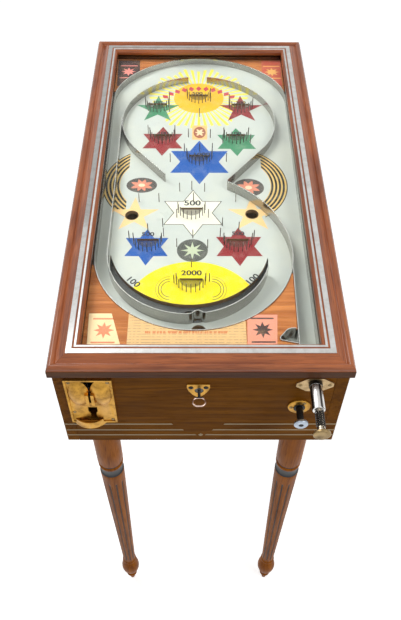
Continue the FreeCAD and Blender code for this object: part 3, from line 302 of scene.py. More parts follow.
    def bump(self, height: Value, strength: float, distance: float) -> Socket:
        """Raise the surface by a height between 0 and 1; a distance in metres is what 1 stands for."""
        return self.fill(self.add("ShaderNodeBump"), Height=height, Strength=strength, Distance=distance).outputs[0]


class Plot:
    """A surface point in plan, in millimetres about the lid's centre, and masks for printed shapes."""

    def __init__(self, g: Graph, point: Socket) -> None:
        """Work out where the point lies.

        Args:
            g: The material's graph.
            point: The surface point in metres.
        """
        x, y, z = g.split(point)
        self.g = g
        self.x = g.times(x, 1000.0)
        self.y = g.times(y, 1000.0, -PLAN_SHIFT)
        self.z = g.times(z, 1000.0)

    def both(self, first: Value, *others: Value) -> Value:
        """One where all of these masks are one.

        Args:
            first: A mask.
            *others: More masks.

        Returns:
            The new mask.
        """
        for other in others:
            first = self.g.times(first, other)
        return first

    def oval(self, shape: Oval) -> tuple[Socket, Socket]:
        """Measure the point against an oval.

        Args:
            shape: The oval.

        Returns:
            One inside it, and the distance from its middle, which is 1 on its edge.
        """
        dx = self.g.times(self.g.offset(self.x, shape.x), 1.0 / shape.wide)
        dy = self.g.times(self.g.offset(self.y, shape.y), 1.0 / shape.tall)
        reach = self.g.math("SQRT", self.g.times(dx, dx, self.g.times(dy, dy)))
        return self.g.below(reach, 1.0), reach

    def block(self, shape: Oval) -> Socket:
        """One inside a rectangle.

        Args:
            shape: The rectangle.

        Returns:
            The mask.
        """
        across = self.g.math("ABSOLUTE", self.g.offset(self.x, shape.x))
        along = self.g.math("ABSOLUTE", self.g.offset(self.y, shape.y))
        return self.both(self.g.below(across, shape.wide), self.g.below(along, shape.tall))

    def beyond(self, shape: Oval, side: float, start: float = 0.0) -> Socket:
        """One past a distance to the left (-1) or the right (1) of a shape's middle."""
        return self.g.above(self.g.times(self.g.offset(self.x, shape.x), side), start)

    def angle(self, shape: Oval) -> Socket:
        """Angle about a shape's middle from straight ahead, with a full turn added."""
        turn = self.g.math("ARCTAN2", self.g.offset(self.x, shape.x), self.g.offset(self.y, shape.y))
        return self.g.math("ADD", turn, FULL_TURN)

    def petals(self, shape: Oval, count: float) -> Socket:
        """A wave between 0 and a half, repeated round a shape's middle."""
        return self.g.math("PINGPONG", self.g.times(self.angle(shape), count / FULL_TURN), 0.5)

    def star(self, x: float, y: float, radius: float, arms: int, slope: float) -> tuple[Socket, Socket]:
        """Masks of a star's inside and of its edge."""
        return tuple(self.g.use(star_mask(), X=self.x, Y=self.y, Centre_X=x, Centre_Y=y, Radius=radius,
                                Arms=float(arms), Slope=slope).outputs)


def node_group(name: str, inputs: Sequence[tuple[str, str]], outputs: Sequence[str],
               fill: Callable[[Graph, dict[str, Socket]], Sequence[Socket]],
               ) -> bpy.types.NodeTree:
    """Build a shader node group once.

    Args:
        name: The group's name.
        inputs: Names of its inputs with Float or Vector as their kind.
        outputs: Names of its outputs, all numbers.
        fill: Builds the inside and returns one socket for each output.

    Returns:
        The group.
    """
    made = bpy.data.node_groups.get(name)
    if made is not None:
        return made
    tree = bpy.data.node_groups.new(name, "ShaderNodeTree")
    for label, kind in inputs:
        tree.interface.new_socket(label, in_out="INPUT", socket_type="NodeSocket" + kind)
    for label in outputs:
        tree.interface.new_socket(label, in_out="OUTPUT", socket_type="NodeSocketFloat")
    graph = Graph(tree)
    entry = graph.add("NodeGroupInput")
    results = fill(graph, {socket.name: socket for socket in entry.outputs if socket.name})
    leave = graph.add("NodeGroupOutput")
    for socket, result in zip(leave.inputs, results):
        graph.feed(socket, result)
    return tree


def wood_figure() -> bpy.types.NodeTree:
    """Grain that runs along the vector's Z: broad figure, fine fibres and open pores.

    Returns:
        The group.
    """

    def fill(g: Graph, given: dict[str, Socket]) -> Sequence[Socket]:
        """Lay the three layers of grain.

        Args:
            g: The group's graph.
            given: The group's inputs.

        Returns:
            The figure, the fibres and the pores.
        """
        vector = given["Vector"]
        broad = g.noise(g.place(vector, scale=(26, 26, 2.2)), 1.0, 4.0, 0.6, 0.9)
        fibres = g.noise(g.place(vector, scale=(210, 210, 7)), 1.0, 4.0, 0.65, 0.3)
        pores = g.noise(g.place(vector, scale=(900, 900, 38)), 1.0, 2.0, 0.5)
        rings = g.math("PINGPONG", g.times(broad, 7.0), 1.0)
        figure = g.blend(0.45, broad, rings)
        return figure, fibres, g.step(pores, 0.56, 0.70)

    return node_group("wood_figure", [("Vector", "Vector")], ["Figure", "Fibres", "Pores"], fill)


def metal_age() -> bpy.types.NodeTree:
    """Blotches and fine scratches of handled metal.

    Returns:
        The group.
    """

    def fill(g: Graph, given: dict[str, Socket]) -> Sequence[Socket]:
        """Mix cloudy tarnish and crossing scratches.

        Args:
            g: The group's graph.
            given: The group's inputs.

        Returns:
            The blotches and the scratches.
        """
        vector = given["Vector"]
        cloud = g.noise(vector, 60.0, 5.0, 0.6, 0.4)
        spots = g.noise(vector, 420.0, 3.0, 0.6)
        fine = g.noise(g.place(vector, turn=(0.3, 0.5, 0.6), scale=(1800, 60, 60)), 1.0, 2.0)
        cross = g.noise(g.place(vector, turn=(0.9, -0.4, -0.7), scale=(60, 1600, 60)), 1.0, 2.0)
        blotch = g.step(g.times(spots, 0.25, cloud), 0.48, 0.86)
        scratch = g.step(g.math("MAXIMUM", fine, cross), 0.62, 0.78)
        return blotch, scratch

    return node_group("metal_age", [("Vector", "Vector")], ["Blotch", "Scratch"], fill)


def star_mask() -> bpy.types.NodeTree:
    """One where a point lies inside a star, in plan, and a thin line along the star's edge.

    Returns:
        The group.
    """

    def fill(g: Graph, given: dict[str, Socket]) -> Sequence[Socket]:
        """Measure the point against one side of the nearest arm.

        Args:
            g: The group's graph.
            given: The group's inputs.

        Returns:
            The inside and the edge.
        """
        dx = g.offset(given["X"], given["Centre X"])
        dy = g.offset(given["Y"], given["Centre Y"])
        radius = g.math("SQRT", g.times(dx, dx, g.times(dy, dy)))
        angle = g.math("ADD", g.math("ARCTAN2", dx, dy), 4.0 * math.pi)
        half = g.math("DIVIDE", math.pi, given["Arms"])
        arm = g.math("PINGPONG", angle, half)
        lean = g.times(g.math("SINE", arm), given["Slope"], g.math("COSINE", arm))
        reach = g.math("DIVIDE", g.times(radius, lean), given["Radius"])
        inside = g.below(reach, 1.0)
        edge = g.below(g.math("ABSOLUTE", g.offset(reach, 0.98)), 0.022)
        return inside, edge

    names = [(label, "Float") for label in ("X", "Y", "Centre X", "Centre Y", "Radius", "Arms", "Slope")]
    return node_group("star_mask", names, ["Inside", "Edge"], fill)


def new_material(name: str) -> tuple[bpy.types.Material, Graph, bpy.types.Node]:
    """A material with its tree and its one surface shader.

    Args:
        name: The material's name.

    Returns:
        The material, a graph on its tree, and the Principled shader.
    """
    material = bpy.data.materials.new(name)
    material.use_nodes = True
    tree = material.node_tree
    tree.nodes.clear()
    graph = Graph(tree)
    shader = graph.add("ShaderNodeBsdfPrincipled")
    leave = graph.add("ShaderNodeOutputMaterial")
    tree.links.new(shader.outputs[0], leave.inputs[0])
    return material, graph, shader


@dataclass(frozen=True)
class WoodFinish:
    """A varnished or oiled wood with its grain along one direction."""

    name: str
    pale: Colour
    deep: Colour
    pore: Colour
    along: Along
    roughness: float = 0.35
    coat: float = 0.15
    offset: float = 0.0
    # the darker colour that the lid wood takes on its lower vertical band, a painted shade on the same wood
    fascia_shade: Optional[Colour] = None
    specular: float = 0.1

    def build(self) -> bpy.types.Material:
        """Make the material.

        Returns:
            The material.
        """
        material, g, shader = new_material(self.name)
        base = g.place(g.position(), (self.offset, self.offset * 0.7, 0.0), self.along.value)
        figure, fibres, pores = g.use(wood_figure(), Vector=base).outputs
        tone = g.times(fibres, 0.55, g.times(figure, 0.62))
        colour = g.mix(g.step(tone, 0.25, 0.95), self.deep, self.pale)
        cloud = g.noise(base, 9.0, 2.0)
        colour = g.mix(g.times(g.step(cloud, 0.45, 0.75), 0.35), colour, self.deep)
        colour = g.mix(g.times(pores, 0.45), colour, self.pore)
        coat: Value = self.coat
        # painted shade: below FASCIA_TOP the same wood takes a darker colour and loses its coat, so the vertical face
        # reads shaded
        if self.fascia_shade is not None:
            height = g.split(g.position())[2]
            below = g.below(height, FASCIA_TOP * MM)
            colour = g.mix(below, colour, g.mix(g.step(tone, 0.25, 0.95), self.pore, self.fascia_shade))
            coat = g.times(g.offset(1.0, below), self.coat)
        worn = g.noise(g.position(), 38.0, 4.0)
        rough = g.times(worn, 0.22, self.roughness - 0.08)
        relief = g.times(pores, -0.6, g.times(fibres, 0.4))
        g.fill(shader, Base_Color=colour, Roughness=g.times(pores, 0.12, rough), Specular_IOR_Level=self.specular,
               Coat_Weight=coat, Coat_Roughness=0.12, Normal=g.bump(relief, 0.25, 0.0004))
        return material


@dataclass(frozen=True)
class MetalFinish:
    """A metal with tarnish in its hollows and fine scratches, and optionally a painted shade on its upright faces and
    painted dark reflection bands.
    """

    name: str
    bright: Colour
    dull: Colour
    roughness: float
    tarnish: float = 0.4
    scratch: float = 0.12
    # side: the painted shade colour that upright faces take, darker than the lit tops
    side: Optional[Colour] = None
    # bands: a painted dark reflection colour, laid in stripes by which way a face points
    bands: Optional[Colour] = None

    def build(self) -> bpy.types.Material:
        """Make the material.

        Returns:
            The material.
        """
        material, g, shader = new_material(self.name)
        blotch, scratch = g.use(metal_age(), Vector=g.position()).outputs
        colour = g.mix(g.times(blotch, self.tarnish), self.bright, self.dull)
        across, _, up = g.split(g.add("ShaderNodeNewGeometry").outputs["Normal"])
        # painted shade: faces that are not level take the darker side colour, so top edges read bright
        if self.side is not None:
            colour = g.mix(g.step(g.math("ABSOLUTE", up), 0.75, 0.25), colour, self.side)
        # painted reflection: dark stripes set by the sideways part of the normal
        if self.bands is not None:
            wave = g.math("PINGPONG", g.times(across, 1.55, 0.35), 1.0)
            colour = g.mix(g.step(wave, 0.55, 0.9), colour, self.bands)
        rough = g.times(blotch, 0.22 * self.tarnish, self.roughness)
        g.fill(shader, Base_Color=colour, Metallic=1.0, Roughness=g.times(scratch, self.scratch, rough),
               Normal=g.bump(scratch, 0.08, 0.0002))
        return material


@dataclass(frozen=True)
class PaintFinish:
    """A plain painted or papered surface with slight unevenness."""

    name: str
    colour: Colour
    worn: Colour
    roughness: float = 0.5
    wear: float = 0.3

    def build(self) -> bpy.types.Material:
        """Make the material.

        Returns:
            The material.
        """
        material, g, shader = new_material(self.name)
        point = g.position()
        patch = g.step(g.noise(point, 45.0, 5.0, 0.65), 0.45, 0.8)
        g.fill(shader, Base_Color=g.mix(g.times(patch, self.wear), self.colour, self.worn),
               Roughness=g.times(patch, 0.15, self.roughness),
               Normal=g.bump(g.noise(point, 900.0, 2.0), 0.12, 0.0002))
        return material


@dataclass(frozen=True)
class GlassFinish:
    """The clear pane, which lets the lamps' light through to the board."""

    name: str
    tint: Colour = (0.985, 1.0, 0.99)
    bend: float = 1.15

    def build(self) -> bpy.types.Material:
        """Make the material.

        Returns:
            The material.
        """
        material, g, shader = new_material(self.name)
        smear = g.step(g.noise(g.position(), 14.0, 4.0, 0.6, 1.5), 0.5, 0.9)
        g.fill(shader, Base_Color=self.tint, Transmission_Weight=1.0, IOR=self.bend, Roughness=g.times(smear, 0.02))
        clear = g.add("ShaderNodeBsdfTransparent")
        path = g.add("ShaderNodeLightPath")
        mixed = g.add("ShaderNodeMixShader")
        leave = next(node for node in g.tree.nodes if node.bl_idname == "ShaderNodeOutputMaterial")
        sources = (path.outputs["Is Shadow Ray"], shader.outputs[0], clear.outputs[0])
        for socket, source in zip(mixed.inputs, sources):
            g.feed(socket, source)
        g.feed(leave.inputs[0], mixed.outputs[0])
        return material


@dataclass(frozen=True)
class Star:
    """A printed star: where it is, how large, and its colour."""

    x: float
    y: float
    radius: float
    arms: int
    colour: Colour
    outline: Optional[Colour] = None

    @property
    def slope(self) -> float:
        """How steeply the sides of an arm close in.

        Returns:
            The slope that the star's mask takes.
        """
        inner = {5: 0.382, 6: 0.5774}[self.arms]
        half = math.pi / self.arms
        return (1 - inner * math.cos(half)) / (inner * math.sin(half))


BLUE = (0.014, 0.095, 0.38)
RED = (0.28, 0.028, 0.030)
GREEN = (0.065, 0.26, 0.13)
CREAM = (0.86, 0.83, 0.66)
PEACH = (0.86, 0.58, 0.26)
YELLOW = (0.84, 0.69, 0.008)
SUN = (0.78, 0.46, 0.015)
INK = (0.02, 0.02, 0.022)
GOLD = (0.72, 0.50, 0.16)
RAY = (0.88, 0.76, 0.08)
LOZENGE = (0.52, 0.05, 0.07)
FADED = (0.70, 0.70, 0.60)
AGED = (0.66, 0.66, 0.53)
# painted shade for the pocket floors below the board's top
POCKET_SHADE = (0.05, 0.035, 0.02)
GROUND = (0.54, 0.575, 0.53)
PLY = (0.30, 0.19, 0.09)
PLY_DARK = (0.12, 0.07, 0.035)
OVAL_GROUND = (0.10, 0.09, 0.08)
OVAL_FLOWER = (0.66, 0.24, 0.15)
OVAL_HEART = (0.80, 0.60, 0.40)
PANEL_GROUND = (0.86, 0.50, 0.20)
PANEL_OVAL = (0.35, 0.11, 0.06)
PANEL_FLOWER = (0.88, 0.62, 0.38)
DISC_GROUND = (0.10, 0.105, 0.09)
DISC_LEAF = (0.50, 0.56, 0.38)

STARS = (
    Star(-80.5, 221.0, 44.0, 5, GREEN),
    Star(80.5, 221.5, 44.5, 5, RED),
    Star(-68.8, 123.7, 42.5, 6, RED),
    Star(68.4, 122.2, 41.0, 6, GREEN),
    Star(-110.5, -72.0, 43.0, 5, PEACH),
    Star(88.0, -71.0, 43.0, 5, PEACH),
    Star(-0.6, 65.2, 60.2, 6, BLUE),
    Star(-11.9, -67.0, 57.2, 6, CREAM, INK),
    Star(-87.0, -146.5, 40.5, 6, BLUE),
    Star(63.2, -145.0, 43.0, 6, RED),
)


@dataclass(frozen=True)
class FieldPrint:
    """The nail board: plywood with a printed and varnished top, its motifs set out in plan."""

    name: str = "printed_field"
    sun_disc: Oval = Oval(-1.3, 258.0, 49.0, 49.0)
    rays: float = 44.0
    ray_share: float = 0.23
    long_rays: float = 11.0
    ray_reach: float = 1.85
    lozenge_round: Oval = Oval(-1.3, 196.0, 100.0, 100.0)
    lozenges: float = 40.0
    lozenge_row: float = 0.93
    lozenge_spread: float = 0.84
    moon_round: Oval = Oval(-12.2, -283.4, 104.7, 104.7)
    board_round: Oval = Oval(-17.0, -137.5, 130.5, 130.5)
    waves: tuple[tuple[float, Oval], ...] = ((-1.0, Oval(-47.6, -236.0, 22.0, 26.0)),
                                             (1.0, Oval(18.4, -236.0, 22.0, 26.0)))
    bands: tuple[tuple[float, Oval], ...] = ((-1.0, Oval(-70.0, 5.0, 100.0, 100.0)),
                                             (1.0, Oval(54.0, 5.0, 100.0, 100.0)))
    band_start: float = 56.0
    ovals: tuple[Oval, ...] = (Oval(-101.8, 2.1, 26.7, 19.5), Oval(85.0, -3.5, 27.0, 23.0))
    panel: Oval = Oval(0.0, 149.5, 14.0, 21.5)
    panel_oval: Oval = Oval(0.0, 149.5, 11.5, 17.0)
    disc: Oval = Oval(-12.7, -154.0, 25.0, 25.0)
    leaf_radius: float = 19.0

    def build(self) -> bpy.types.Material:
        """Make the material.

        Returns:
            The material.
        """
        material, g, shader = new_material(self.name)
        point = g.position()
        p = Plot(g, point)
        age = g.step(g.noise(point, 11.0, 4.0, 0.6), 0.4, 0.75)
        colour = g.mix(g.times(age, 0.35), GROUND, AGED)
        for motif in (self.sun, self.lozenge_arc, self.moon, self.stripes, self.flowers, self.centre):
            colour = motif(p, colour)
        for star in STARS:
            inside, edge = p.star(star.x, star.y, star.radius, star.arms, star.slope)
            colour = g.mix(inside, colour, star.colour)
            if star.outline is not None:
                colour = g.mix(edge, colour, star.outline)
        faded = g.step(g.noise(point, 70.0, 5.0, 0.6), 0.42, 0.8)
        colour = g.mix(g.times(faded, 0.14), colour, FADED)
        # painted shade: faces below the board's top, the pocket floors, are darkened toward near black
        fall = g.times(p.y, math.tan(BOARD_SLOPE), BOARD_MIDDLE - POCKET_STEP)
        colour = g.mix(g.times(g.below(p.z, fall), 0.62), colour, POCKET_SHADE)
        g.fill(shader, Base_Color=self.sides(g, point, colour), Specular_IOR_Level=0.3, Coat_Weight=0.1,
               Coat_Roughness=0.15, Roughness=g.times(g.noise(point, 25.0, 3.0), 0.2, 0.22),
               Normal=g.bump(g.noise(point, 160.0, 3.0), 0.06, 0.0004))
        return material

    def sun(self, p: Plot, under: Value) -> Socket:
        """Print a yellow disc with rays of uneven length.

        Args:
            p: The point in plan.
            under: The colour beneath.

        Returns:
            The new colour.
        """
        g = p.g
        inside, reach = p.oval(self.sun_disc)
        beam = g.below(p.petals(self.sun_disc, self.rays), self.ray_share)
        length = g.times(p.petals(self.sun_disc, self.long_rays), 0.5, self.ray_reach)
        beam = p.both(beam, g.below(reach, length))
        return g.mix(inside, g.mix(beam, under, RAY), SUN)

    def lozenge_arc(self, p: Plot, under: Value) -> Socket:
        """Print an arc of red lozenges across the sun.

        Args:
            p: The point in plan.
            under: The colour beneath.

        Returns:
            The new colour.
        """
        g = p.g
        _, far = p.oval(self.lozenge_round)
        turn = g.math("ADD", p.angle(self.lozenge_round), math.pi)
        aside = g.math("ABSOLUTE", g.offset(g.math("PINGPONG", turn, FULL_TURN), math.pi))
        cell = p.petals(self.lozenge_round, self.lozenges)
        across = g.times(g.math("ABSOLUTE", g.offset(far, self.lozenge_row)), 5.5)
        lozenge = g.below(g.times(cell, 1.15, across), 0.46)
        return g.mix(p.both(lozenge, g.below(aside, self.lozenge_spread)), under, LOZENGE)

    def moon(self, p: Plot, under: Value) -> Socket:
        """Print the yellow segment at the front, with dark waves at both sides of its pocket.

        Args:
            p: The point in plan.
            under: The colour beneath.

        Returns:
            The new colour.
        """
        g = p.g
        segment, _ = p.oval(self.moon_round)
        field, _ = p.oval(self.board_round)
        colour = g.mix(p.both(segment, field), under, YELLOW)
        for side, shape in self.waves:
            ring, reach = p.oval(shape)
            wave = g.below(g.math("PINGPONG", g.times(reach, 5.0), 0.5), 0.11)
            colour = g.mix(p.both(wave, g.above(reach, 0.45), ring, p.beyond(shape, side)), colour, INK)
        return colour

    def stripes(self, p: Plot, under: Value) -> Socket:
        """Print curved black and gold stripes at both sides of the board.

        Args:
            p: The point in plan.
            under: The colour beneath.

        Returns:
            The new colour.
        """
        g, colour = p.g, under
        for side, shape in self.bands:
            inside, reach = p.oval(shape)
            mask = p.both(inside, g.above(reach, 0.70), p.beyond(shape, side, self.band_start))
            stripe = g.below(g.math("PINGPONG", g.times(reach, 15.0), 0.5), 0.27)
            colour = g.mix(mask, colour, g.mix(stripe, GOLD, INK))
        return colour

    def flowers(self, p: Plot, under: Value) -> Socket:
        """Print the two dark ovals, each with a plain flower.

        Args:
            p: The point in plan.
            under: The colour beneath.

        Returns:
            The new colour.
        """
        g, colour = p.g, under
        for shape in self.ovals:
            inside, reach = p.oval(shape)
            edge = g.times(p.petals(shape, 8.0), 0.75, 0.42)
            art = g.mix(g.below(reach, edge), OVAL_GROUND, OVAL_FLOWER)
            colour = g.mix(inside, colour, art)
            colour = g.mix(g.below(reach, 0.22), colour, OVAL_HEART)
        return colour

    def centre(self, p: Plot, under: Value) -> Socket:
        """Print the small panel below the sun and the grey disc with its leaves.

        Args:
            p: The point in plan.
            under: The colour beneath.

        Returns:
            The new colour.
        """
        g = p.g
        inside, reach = p.oval(self.panel_oval)
        edge = g.times(p.petals(self.panel_oval, 6.0), 0.9, 0.3)
        art = g.mix(inside, PANEL_GROUND, PANEL_OVAL)
        art = g.mix(g.below(reach, edge), art, PANEL_FLOWER)
        colour = g.mix(p.block(self.panel), under, art)
        inside, _ = p.oval(self.disc)
        colour = g.mix(inside, colour, DISC_GROUND)
        leaf, _ = p.star(self.disc.x, self.disc.y, self.leaf_radius, 8, 4.4)
        return g.mix(leaf, colour, DISC_LEAF)

    def sides(self, g: Graph, point: Value, top: Value) -> Socket:
        """Show plywood on every cut side, where the face isn't level.

        Args:
            g: The material's graph.
            point: The surface point.
            top: The colour of the printed top.

        Returns:
            The new colour.
        """
        _, _, up = g.split(g.add("ShaderNodeNewGeometry").outputs["True Normal"])
        layers = g.noise(g.place(point, scale=(20, 20, 700)), 1.0, 2.0)
        return g.mix(g.above(up, 0.7), g.mix(layers, PLY, PLY_DARK), top)


@dataclass(frozen=True)
class Emblem:
    """A card's plain rosette between two ruled lines."""

    x: float
    y: float
    paper: Colour
    ink: Colour
    radius: float = 15.0


@dataclass(frozen=True)
class CardPrint:
    """The printed cards on the corner plates, each with its own paper and plain ruled lines."""

    name: str = "printed_cards"
    paper: Colour = (0.72, 0.45, 0.19)
    line: Colour = (0.28, 0.16, 0.08)
    heading: Colour = (0.62, 0.20, 0.06)
    stain: Colour = (0.52, 0.30, 0.13)
    heading_block: Oval = Oval(-20.0, -336.5, 60.0, 2.2)
    front_left: Emblem = Emblem(-139.0, -333.0, (0.88, 0.66, 0.36), (0.72, 0.22, 0.10))
    front_right: Emblem = Emblem(89.0, -332.0, (0.78, 0.29, 0.19), (0.06, 0.03, 0.025))
    rear_left: Emblem = Emblem(-143.0, 330.0, (0.06, 0.03, 0.025), (0.72, 0.22, 0.18))
    rear_right: Emblem = Emblem(147.0, 330.0, (0.50, 0.08, 0.04), (0.80, 0.42, 0.10))
    left_edge: float = -108.0
    right_edge: float = 65.5
    line_offsets: tuple[float, float] = (-22.0, 21.0)

    def build(self) -> bpy.types.Material:
        """Make the material.

        Returns:
            The material.
        """
        material, g, shader = new_material(self.name)
        point = g.position()
        p = Plot(g, point)
        lines = g.below(g.math("PINGPONG", g.times(p.y, 0.2), 0.5), 0.12)
        dashes = g.step(g.noise(g.place(point, scale=(320, 40, 40)), 1.0, 2.0), 0.42, 0.5)
        ruled = g.times(p.both(lines, dashes), 0.6)
        centre = g.mix(ruled, self.paper, self.line)
        centre = g.mix(p.both(p.block(self.heading_block), dashes), centre, self.heading)
        front = g.mix(g.below(p.x, self.left_edge), centre, self.emblem(p, self.front_left))
        front = g.mix(g.above(p.x, self.right_edge), front, self.emblem(p, self.front_right))
        rear = g.mix(g.above(p.x, 0.0), self.emblem(p, self.rear_left), self.emblem(p, self.rear_right))
        colour = g.mix(g.below(p.y, 0.0), rear, front)
        stained = g.step(g.noise(point, 60.0, 4.0), 0.45, 0.8)
        g.fill(shader, Base_Color=g.mix(g.times(stained, 0.25), colour, self.stain), Roughness=0.55,
               Normal=g.bump(g.noise(point, 500.0, 2.0), 0.1, 0.0002))
        return material

    def emblem(self, p: Plot, shape: Emblem) -> Socket:
        """Print one rosette with its two lines.

        Args:
            p: The point in plan.
            shape: The rosette, its paper and its ink.

        Returns:
            The card's colour.
        """
        rosette, _ = p.star(shape.x, shape.y, shape.radius, 8, 3.0)
        colour = p.g.mix(rosette, shape.paper, shape.ink)
        for offset in self.line_offsets:
            line = p.block(Oval(shape.x, shape.y + offset, 17.0, 1.4))
            colour = p.g.mix(line, colour, shape.ink)
        return colour


@dataclass
class Finishes:
    """Every material of the table, made once."""

    def __post_init__(self) -> None:
        """Build all the finishes."""
        # the lid's last colour is a painted shade on its lower vertical band
        mahogany = dict(pale=(0.62, 0.180, 0.048), deep=(0.19, 0.038, 0.009), pore=(0.05, 0.012, 0.004),
                        roughness=0.34, coat=1.0, fascia_shade=(0.150, 0.056, 0.012), specular=0.12)
        self.lid_across = WoodFinish("lid_wood_across", along=Along.X, offset=0.3, **mahogany).build()
        self.lid_along = WoodFinish("lid_wood_along", along=Along.Y, offset=0.9, **mahogany).build()
        box = dict(pale=(0.26, 0.092, 0.004), deep=(0.10, 0.031, 0.0), pore=(0.020, 0.006, 0.0),
                   roughness=0.5, coat=0.0, specular=0.05)
        self.box_across = WoodFinish("box_wood_across", along=Along.X, offset=0.1, **box).build()
        self.box_along = WoodFinish("box_wood_along", along=Along.Y, offset=0.5, **box).build()
        self.leg = WoodFinish("leg_wood", (0.46, 0.135, 0.0), (0.18, 0.045, 0.0), (0.05, 0.012, 0.0),
                              Along.Z, 0.40, 0.06, specular=0.06).build()
        self.plate = WoodFinish("plate_wood", (0.64, 0.25, 0.075), (0.32, 0.088, 0.022), (0.14, 0.04, 0.015),
                                Along.X, 0.38, 0.15, 0.2).build()
        self.inner_wood = WoodFinish("inner_wood", (0.60, 0.43, 0.26), (0.42, 0.27, 0.14), (0.25, 0.14, 0.07),
                                     Along.Y, 0.6, 0.0).build()
        self.bead = WoodFinish("bead_wood", (0.10, 0.040, 0.015), (0.04, 0.016, 0.007), (0.02, 0.008, 0.004),
                               Along.Y, 0.45, 0.1).build()
        self.inlay = WoodFinish("inlay_wood", (0.50, 0.38, 0.23), (0.36, 0.26, 0.15), (0.2, 0.13, 0.06),
                                Along.X, 0.45, 0.1).build()
        self.brass = MetalFinish("aged_brass", (0.60, 0.32, 0.055), (0.24, 0.12, 0.02), 0.33, 0.8).build()
        self.tan_brass = MetalFinish("tan_brass", (0.56, 0.40, 0.21), (0.20, 0.12, 0.05), 0.34, 0.6).build()
        self.knob_brass = MetalFinish("knob_brass", (0.38, 0.27, 0.13), (0.10, 0.065, 0.03), 0.34, 0.8).build()
        # the rail's last colour is the painted shade on its upright faces
        self.rail = MetalFinish("rail_metal", (0.86, 0.86, 0.83), (0.45, 0.42, 0.35), 0.18, 0.35, 0.08,
                                (0.42, 0.405, 0.375)).build()
        self.strip = MetalFinish("strip_metal", (0.80, 0.80, 0.78), (0.46, 0.43, 0.38), 0.28, 0.5, 0.1).build()
        # chrome and nickel take painted dark reflection bands
        self.chrome = MetalFinish("chrome", (0.88, 0.87, 0.84), (0.40, 0.36, 0.32), 0.26, 0.3, 0.08,
                                  bands=(0.06, 0.05, 0.045)).build()
        self.nickel = MetalFinish("worn_nickel", (0.66, 0.58, 0.46), (0.22, 0.16, 0.09), 0.22, 0.6,
                                  bands=(0.10, 0.075, 0.05)).build()
        self.ball = MetalFinish("ball_steel", (0.78, 0.78, 0.78), (0.40, 0.38, 0.36), 0.12, 0.3).build()
        self.steel = MetalFinish("steel", (0.55, 0.55, 0.55), (0.20, 0.19, 0.18), 0.30, 0.5).build()
        self.rose = MetalFinish("rose_metal", (0.80, 0.60, 0.52), (0.36, 0.24, 0.19), 0.26, 0.4).build()
        self.blued = MetalFinish("blued_steel", (0.50, 0.57, 0.66), (0.22, 0.26, 0.31), 0.28, 0.5).build()
        self.black = MetalFinish("blackened_steel", (0.045, 0.042, 0.040), (0.012, 0.011, 0.010), 0.35, 0.6).build()
        self.nail = MetalFinish("nail_steel", (0.34, 0.31, 0.28), (0.08, 0.065, 0.05), 0.34, 0.8).build()
        self.gutter = PaintFinish("gutter_paint", (0.075, 0.08, 0.075), (0.16, 0.16, 0.15), 0.5, 0.5).build()
        self.tin = PaintFinish("inner_paint", (0.10, 0.10, 0.10), (0.18, 0.165, 0.15), 0.45, 0.4).build()
        self.ink = PaintFinish("printing_ink", INK, (0.08, 0.075, 0.07), 0.45, 0.3).build()
        self.field = FieldPrint().build()
        self.cards = CardPrint().build()
        self.glass = GlassFinish("pane_glass").build()


def link_object(name: str, data: bpy.types.ID) -> bpy.types.Object:
    """Make an object and link it to the scene.

    Args:
        name: The object's name.
        data: Its mesh, curve, light or camera.

    Returns:
        The object.
    """
    obj = bpy.data.objects.new(name, data)
    bpy.context.scene.collection.objects.link(obj)
    return obj


def piece_from(name: str, mesh: bmesh.types.BMesh, material: bpy.types.Material, body: Body,
               smooth: float = 35.0) -> bpy.types.Object:
    """Make a piece from finished mesh data and let it ride on its body.

    Args:
        name: The piece's name.
        mesh: Its mesh, in the table's frame; it is freed here.
        material: Its finish.
        body: The body that it rides on.
        smooth: Angle in degrees above which an edge stays sharp.

    Returns:
        The new object.
    """
    data = bpy.data.meshes.new(name)
    mesh.to_mesh(data)
    mesh.free()
    obj = link_object(name, data)
    data.materials.append(material)
    data.polygons.foreach_set("use_smooth", [True] * len(data.polygons))
    data.set_sharp_from_angle(angle=math.radians(smooth))
    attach(obj, body.value)
    LOG.info("piece %s: %d faces, body %s", name, len(data.polygons), body.value)
    return obj


